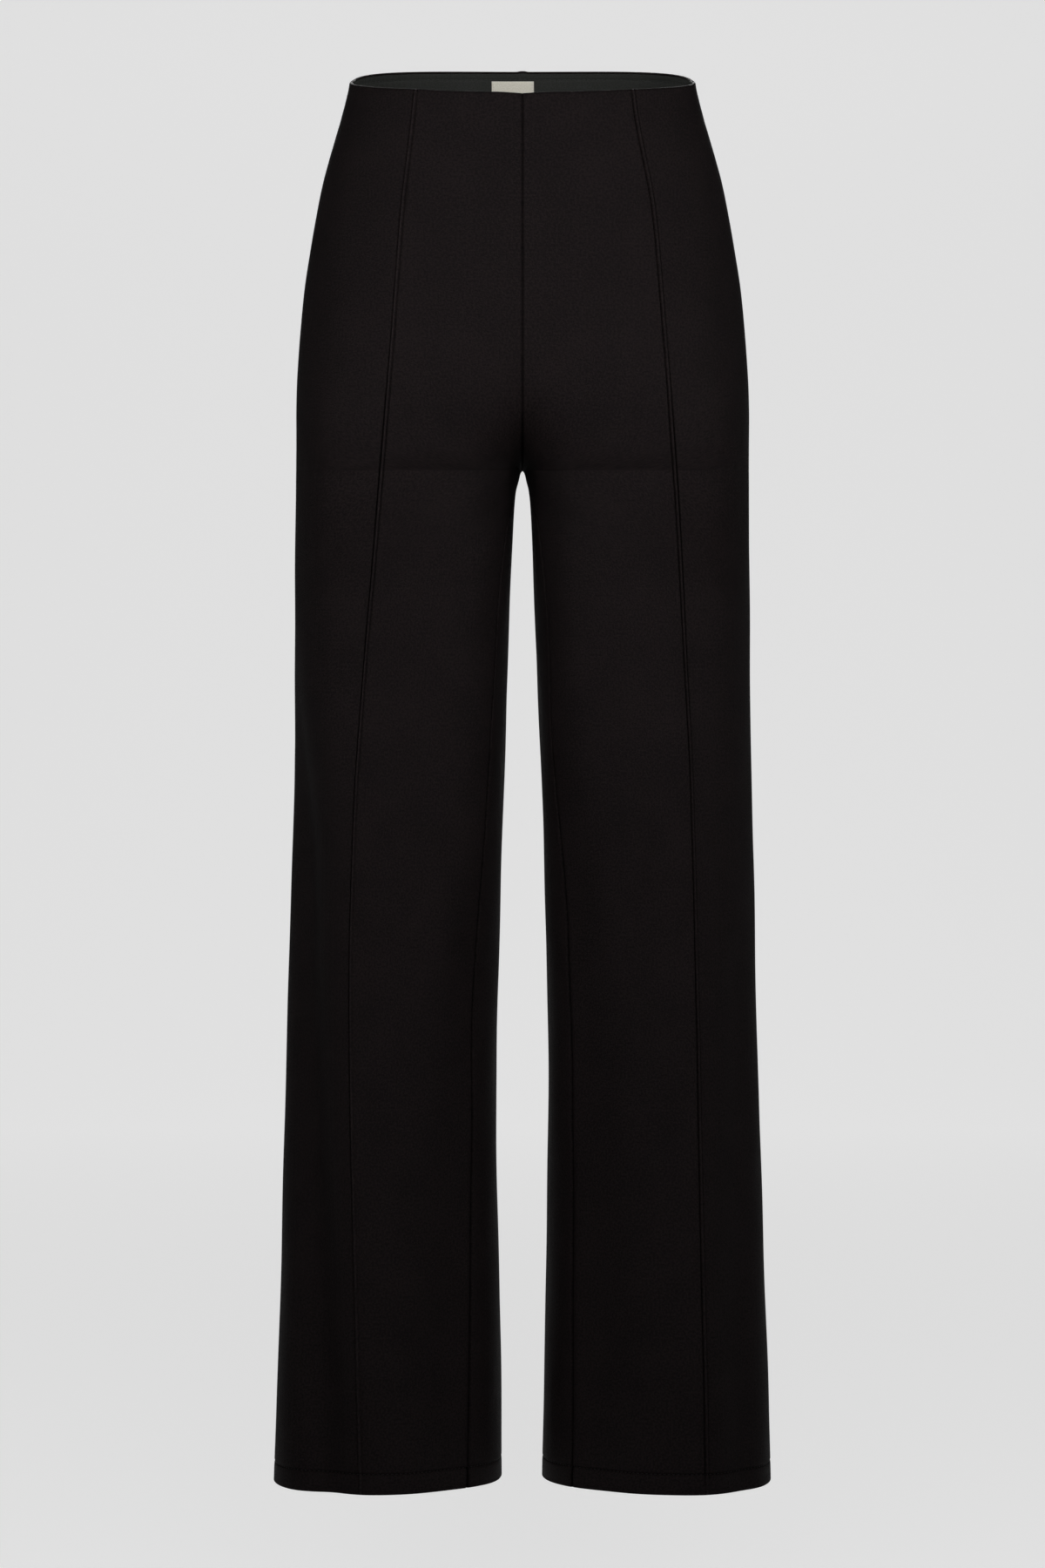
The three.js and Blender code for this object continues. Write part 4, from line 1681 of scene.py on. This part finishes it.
@dataclass(frozen=True)
class ClothFinish:
    """How one cloth looks; every cloth of the trousers is made by it with its own values."""

    name: str
    dark: Triple
    light: Triple
    rough_low: float
    rough_high: float
    specular: float
    coarse_scale: float
    fine_scale: float
    wale: float
    course: float
    nap_scale: float
    nap: float
    bump_strength: float
    bump_distance: float
    sheen: float = 0.1
    sheen_rough: float = 0.4
    sheen_tint: Triple = (1.0, 1.0, 1.0)
    crease_shade: float = 0.95

    def material(self) -> bpy.types.Material:
        """The material, built once.

        Returns:
            The material.
        """
        if self.name in bpy.data.materials:
            return bpy.data.materials[self.name]
        material = bpy.data.materials.new(self.name)
        material.use_nodes = True
        sheet = NodeSheet(material.node_tree)
        place = sheet.add("ShaderNodeUVMap", uv_map="cloth").outputs["UV"]
        tone = sheet.add("ShaderNodeGroup", node_tree=tone_group())
        sheet.feed(tone, {
            "Vector": place,
            "Dark": (*self.dark, 1.0),
            "Light": (*self.light, 1.0),
            "Coarse Scale": self.coarse_scale,
            "Fine Scale": self.fine_scale,
        })
        knit = sheet.add("ShaderNodeGroup", node_tree=knit_group())
        sheet.feed(knit, {
            "Vector": place,
            "Wale": self.wale,
            "Course": self.course,
            "Nap Scale": self.nap_scale,
            "Nap": self.nap,
        })
        deep = sheet.add("ShaderNodeAttribute", attribute_name="crease").outputs["Fac"]
        shade = sheet.add("ShaderNodeGroup", node_tree=crease_group())
        sheet.feed(shade, {"Color": tone.outputs["Color"], "Crease": deep, "Depth": self.crease_shade})
        rough = sheet.add(
            "ShaderNodeMapRange",
            {"Value": knit.outputs["Mask"], "To Min": self.rough_low, "To Max": self.rough_high},
            clamp=True,
        )
        relief = sheet.add("ShaderNodeBump", {
            "Height": knit.outputs["Height"],
            "Strength": self.bump_strength,
            "Distance": self.bump_distance,
        })
        # The painted shade and highlight scale the specular level as well as the colour
        sheet.feed(material.node_tree.nodes["Principled BSDF"], {
            "Base Color": shade.outputs["Color"],
            "Specular IOR Level": sheet.math("MULTIPLY", shade.outputs["Left"], self.specular),
            "Roughness": rough.outputs[0],
            "Normal": relief.outputs["Normal"],
            "Sheen Weight": self.sheen,
            "Sheen Roughness": self.sheen_rough,
            "Sheen Tint": (*self.sheen_tint, 1.0),
        })
        return material


class JerseyFinish(ClothFinish):
    """Black heavy jersey with a fine warm nap."""


class FacingFinish(ClothFinish):
    """Dark grey-green facing cloth."""


class LabelFinish(ClothFinish):
    """Cream woven ribbon."""


class ThreadFinish(ClothFinish):
    """Sewing thread."""


JERSEY = JerseyFinish(
    name="black_jersey",
    dark=(0.0046, 0.0030, 0.0032),
    light=(0.0130, 0.0086, 0.0088),
    rough_low=0.62,
    rough_high=0.80,
    sheen=0.0,
    specular=0.13,
    coarse_scale=26.0,
    fine_scale=560.0,
    wale=0.0010,
    course=0.0008,
    nap_scale=800.0,
    nap=1.7,
    bump_strength=0.8,
    bump_distance=0.0005,
)
FACING = FacingFinish(
    name="facing_cloth",
    dark=(0.014, 0.015, 0.013),
    light=(0.022, 0.023, 0.021),
    rough_low=0.7,
    rough_high=0.9,
    sheen=0.05,
    sheen_rough=0.5,
    sheen_tint=(0.95, 1.0, 0.93),
    specular=0.25,
    coarse_scale=40.0,
    fine_scale=900.0,
    wale=0.0007,
    course=0.0011,
    nap_scale=1200.0,
    nap=0.5,
    bump_strength=0.6,
    bump_distance=0.0003,
)
LABEL = LabelFinish(
    name="cream_ribbon",
    dark=(0.60, 0.57, 0.48),
    light=(0.70, 0.68, 0.60),
    rough_low=0.5,
    rough_high=0.65,
    specular=0.35,
    coarse_scale=60.0,
    fine_scale=1400.0,
    wale=0.0005,
    course=0.0004,
    nap_scale=2500.0,
    nap=0.3,
    bump_strength=0.5,
    bump_distance=0.00015,
)
BLACK_THREAD = ThreadFinish(
    name="black_thread",
    dark=(0.005, 0.004, 0.004),
    light=(0.009, 0.007, 0.007),
    rough_low=0.45,
    rough_high=0.6,
    specular=0.4,
    coarse_scale=200.0,
    fine_scale=3000.0,
    wale=0.0003,
    course=0.0006,
    nap_scale=5000.0,
    nap=0.2,
    bump_strength=0.4,
    bump_distance=0.0001,
)
FACING_THREAD = replace(
    BLACK_THREAD, name="facing_thread", dark=(0.010, 0.011, 0.010), light=(0.018, 0.019, 0.017)
)
LABEL_THREAD = replace(
    BLACK_THREAD, name="label_thread", dark=(0.50, 0.48, 0.41), light=(0.62, 0.60, 0.52)
)


@dataclass
class Trousers:
    """All the cloth and thread of the garment."""

    form: Form = field(default_factory=Form)
    stitch_points: int = 700

    def hem_paths(self, panels: dict[str, TrouserPanel]) -> list[tuple[np.ndarray, np.ndarray]]:
        """Lines of the hem stitches on each panel.

        Args:
            panels: the four panels by name.

        Returns:
            For each line its points and the way off the cloth.
        """
        paths = []
        for panel in panels.values():
            grid = panel.grid()
            row = int(np.argmin(np.abs(grid.lift[:, 0] - panel.hem_depth)))
            relief = (panel.seam_profile(grid) + panel.tuck_profile(grid))[row] - panel.hem_press
            point = grid.point[row] + grid.normal[row] * relief[:, None]
            turned = np.array([panel.side.value, 1.0, 1.0])
            paths.append((point * turned, grid.normal[row] * turned))
        return paths

    def build(self) -> None:
        """Builds every piece, from the panels to the threads."""
        panels = {}
        for half in Half:
            for side in Side:
                panel = TrouserPanel(self.form, side, half)
                panel.build(JERSEY)
                panels[panel.name] = panel
        facings = {half: WaistFacing(self.form, half) for half in Half}
        for facing in facings.values():
            facing.build(FACING)
        label = WaistLabel(facings[Half.BACK])
        label.build(LABEL)
        StitchLine("stitches_hem", length=0.0028, gap=0.0007).build(
            self.hem_paths(panels), BLACK_THREAD, "jersey"
        )
        lines = [facing.stitch_path(self.stitch_points) for facing in facings.values()]
        StitchLine("stitches_facing").build(lines, FACING_THREAD, "facing")
        StitchLine("stitches_label", length=0.0016, gap=0.0006, radius=0.00012).build(
            label.stitch_paths(), LABEL_THREAD, "label"
        )


@dataclass(frozen=True)
class SoftLight:
    """Soft rectangular light.

    It stands at `place` and points at `aim`. Its `size` is its width and height, its power is in watts, and
    its spread is the degrees over which its grid lets light out.
    """

    name: str
    place: Triple
    aim: Triple
    size: tuple[float, float]
    watts: float
    spread: float

    def build(self) -> None:
        """Adds the light to the scene."""
        data = bpy.data.lights.new(self.name, "AREA")
        data.shape = "RECTANGLE"
        data.size, data.size_y = self.size
        data.energy = self.watts
        data.spread = math.radians(self.spread)
        light = bpy.data.objects.new(self.name, data)
        light.location = self.place
        light.rotation_euler = aimed(Vector(self.place), Vector(self.aim))
        bpy.context.scene.collection.objects.link(light)


def aimed(place: Vector, aim: Vector) -> Euler:
    """The turn that makes a camera or light at one place point at another."""
    return (aim - place).to_track_quat("-Z", "Y").to_euler()


THIGHS = (0.0, 0.0, -0.28)
SOFT_LIGHTS = (
    SoftLight("key_left", (1.3, -1.6, 1.1), THIGHS, (0.8, 1.0), 4.4, 100.0),
    SoftLight("key_right", (-1.3, -1.6, 1.1), THIGHS, (0.8, 1.0), 3.3, 100.0),
    SoftLight("front", (0.0, -3.0, 0.75), THIGHS, (0.8, 0.5), 2.1, 34.0),
    SoftLight("back", (0.0, 3.0, 1.3), (0.0, 0.0, -0.50), (1.2, 0.6), 11.0, 60.0),
)


@dataclass
class Studio:
    """Plain pale floor and backdrop, soft lights, and the camera."""

    camera_place: Vector = field(default_factory=lambda: Vector((0.0, -5.0, -0.313)))
    aim: Vector = field(default_factory=lambda: Vector((0.0, 0.0, -0.5367)))
    lens: float = 149.4
    long_side: float = 36.0
    floor_level: float = HEM - 0.34
    backdrop_gap: float = 6.2
    backdrop_bend: float = 2.0
    half_width: float = 7.0
    near: float = -8.0
    height: float = 6.0
    bend_steps: int = 24
    tone: Triple = (0.5, 0.5, 0.5)
    glow: float = 0.65
    seen_glow: float = 0.55
    room: float = 0.04
    seen_room: float = 0.70
    glow_half: float = 1.5
    glow_edge: float = 1.0
    glow_start: float = 0.2
    glow_end: float = 1.5

    def build(self) -> None:
        """Builds the stage, the lights and the camera."""
        self._camera()
        self._backdrop()
        self._lights()

    def _camera(self) -> None:
        """Adds the camera at the photograph's angle."""
        data = bpy.data.cameras.new("camera")
        data.sensor_fit = "AUTO"
        data.sensor_width = self.long_side
        data.lens = self.lens
        camera = bpy.data.objects.new("camera", data)
        camera.location = self.camera_place
        camera.rotation_euler = aimed(self.camera_place, self.aim)
        bpy.context.scene.collection.objects.link(camera)
        bpy.context.scene.camera = camera

    def _backdrop(self) -> None:
        """Adds the floor, which bends up behind into the backdrop."""
        profile = [(self.near, self.floor_level)]
        for angle in np.linspace(0.0, math.pi / 2.0, self.bend_steps + 1):
            profile.append((
                self.backdrop_gap + self.backdrop_bend * math.sin(angle),
                self.floor_level + self.backdrop_bend * (1.0 - math.cos(angle)),
            ))
        profile.append((self.backdrop_gap + self.backdrop_bend, self.floor_level + self.height))
        points = [(x, y, z) for y, z in profile for x in (-self.half_width, self.half_width)]
        faces = [(first, first + 1, first + 3, first + 2) for first in range(0, len(points) - 2, 2)]
        mesh = bpy.data.meshes.new("backdrop")
        mesh.from_pydata(points, [], faces)
        mesh.polygons.foreach_set("use_smooth", [True] * len(faces))
        mesh.materials.append(self._paper())
        stage = bpy.data.objects.new("backdrop", mesh)
        bpy.context.scene.collection.objects.link(stage)

    def _paper(self) -> bpy.types.Material:
        """The backdrop's pale paper, which lights the cloth from behind and looks even to the camera.

        Returns:
            The material.
        """
        material = bpy.data.materials.new("pale_paper")
        material.use_nodes = True
        sheet = NodeSheet(material.node_tree)
        place = sheet.add("ShaderNodeNewGeometry").outputs["Position"]
        split = sheet.add("ShaderNodeSeparateXYZ", {"Vector": place})
        glow = sheet.add(
            "ShaderNodeMapRange",
            {
                "Value": split.outputs[1],
                "From Min": self.glow_start,
                "From Max": self.glow_end,
                "To Max": self.glow,
            },
            clamp=True,
            interpolation_type="SMOOTHSTEP",
        )
        narrow = sheet.add(
            "ShaderNodeMapRange",
            {
                "Value": sheet.math("ABSOLUTE", split.outputs[0]),
                "From Min": self.glow_half + self.glow_edge,
                "From Max": self.glow_half,
            },
            clamp=True,
            interpolation_type="SMOOTHSTEP",
        )
        lit = sheet.math("MULTIPLY", glow.outputs[0], narrow.outputs[0])
        camera_ray = sheet.add("ShaderNodeLightPath").outputs["Is Camera Ray"]
        seen = sheet.math("MULTIPLY", camera_ray, self.seen_glow)
        sheet.feed(material.node_tree.nodes["Principled BSDF"], {
            "Base Color": (*self.tone, 1.0),
            "Roughness": 1.0,
            "Specular IOR Level": 0.0,
            "Emission Color": (1.0, 1.0, 1.0, 1.0),
            "Emission Strength": sheet.math("MAXIMUM", lit, seen),
        })
        return material

    def _lights(self) -> None:
        """Adds the soft lights and the even light of the room."""
        for light in SOFT_LIGHTS:
            light.build()
        world = bpy.data.worlds.new("room")
        world.use_nodes = True
        sheet = NodeSheet(world.node_tree)
        strength = sheet.add(
            "ShaderNodeMapRange",
            {
                "Value": sheet.add("ShaderNodeLightPath").outputs["Is Camera Ray"],
                "To Min": self.room,
                "To Max": self.seen_room,
            },
            clamp=True,
        )
        sheet.feed(world.node_tree.nodes["Background"], {
            "Color": (1.0, 1.0, 1.0, 1.0),
            "Strength": strength.outputs[0],
        })
        bpy.context.scene.world = world
        bpy.context.scene.view_settings.view_transform = "Standard"


def main() -> None:
    """Builds the studio and the trousers."""
    logging.basicConfig(level=logging.INFO, format="%(name)s %(message)s")
    Studio().build()
    Trousers().build()


if __name__ == "__main__":
    main()
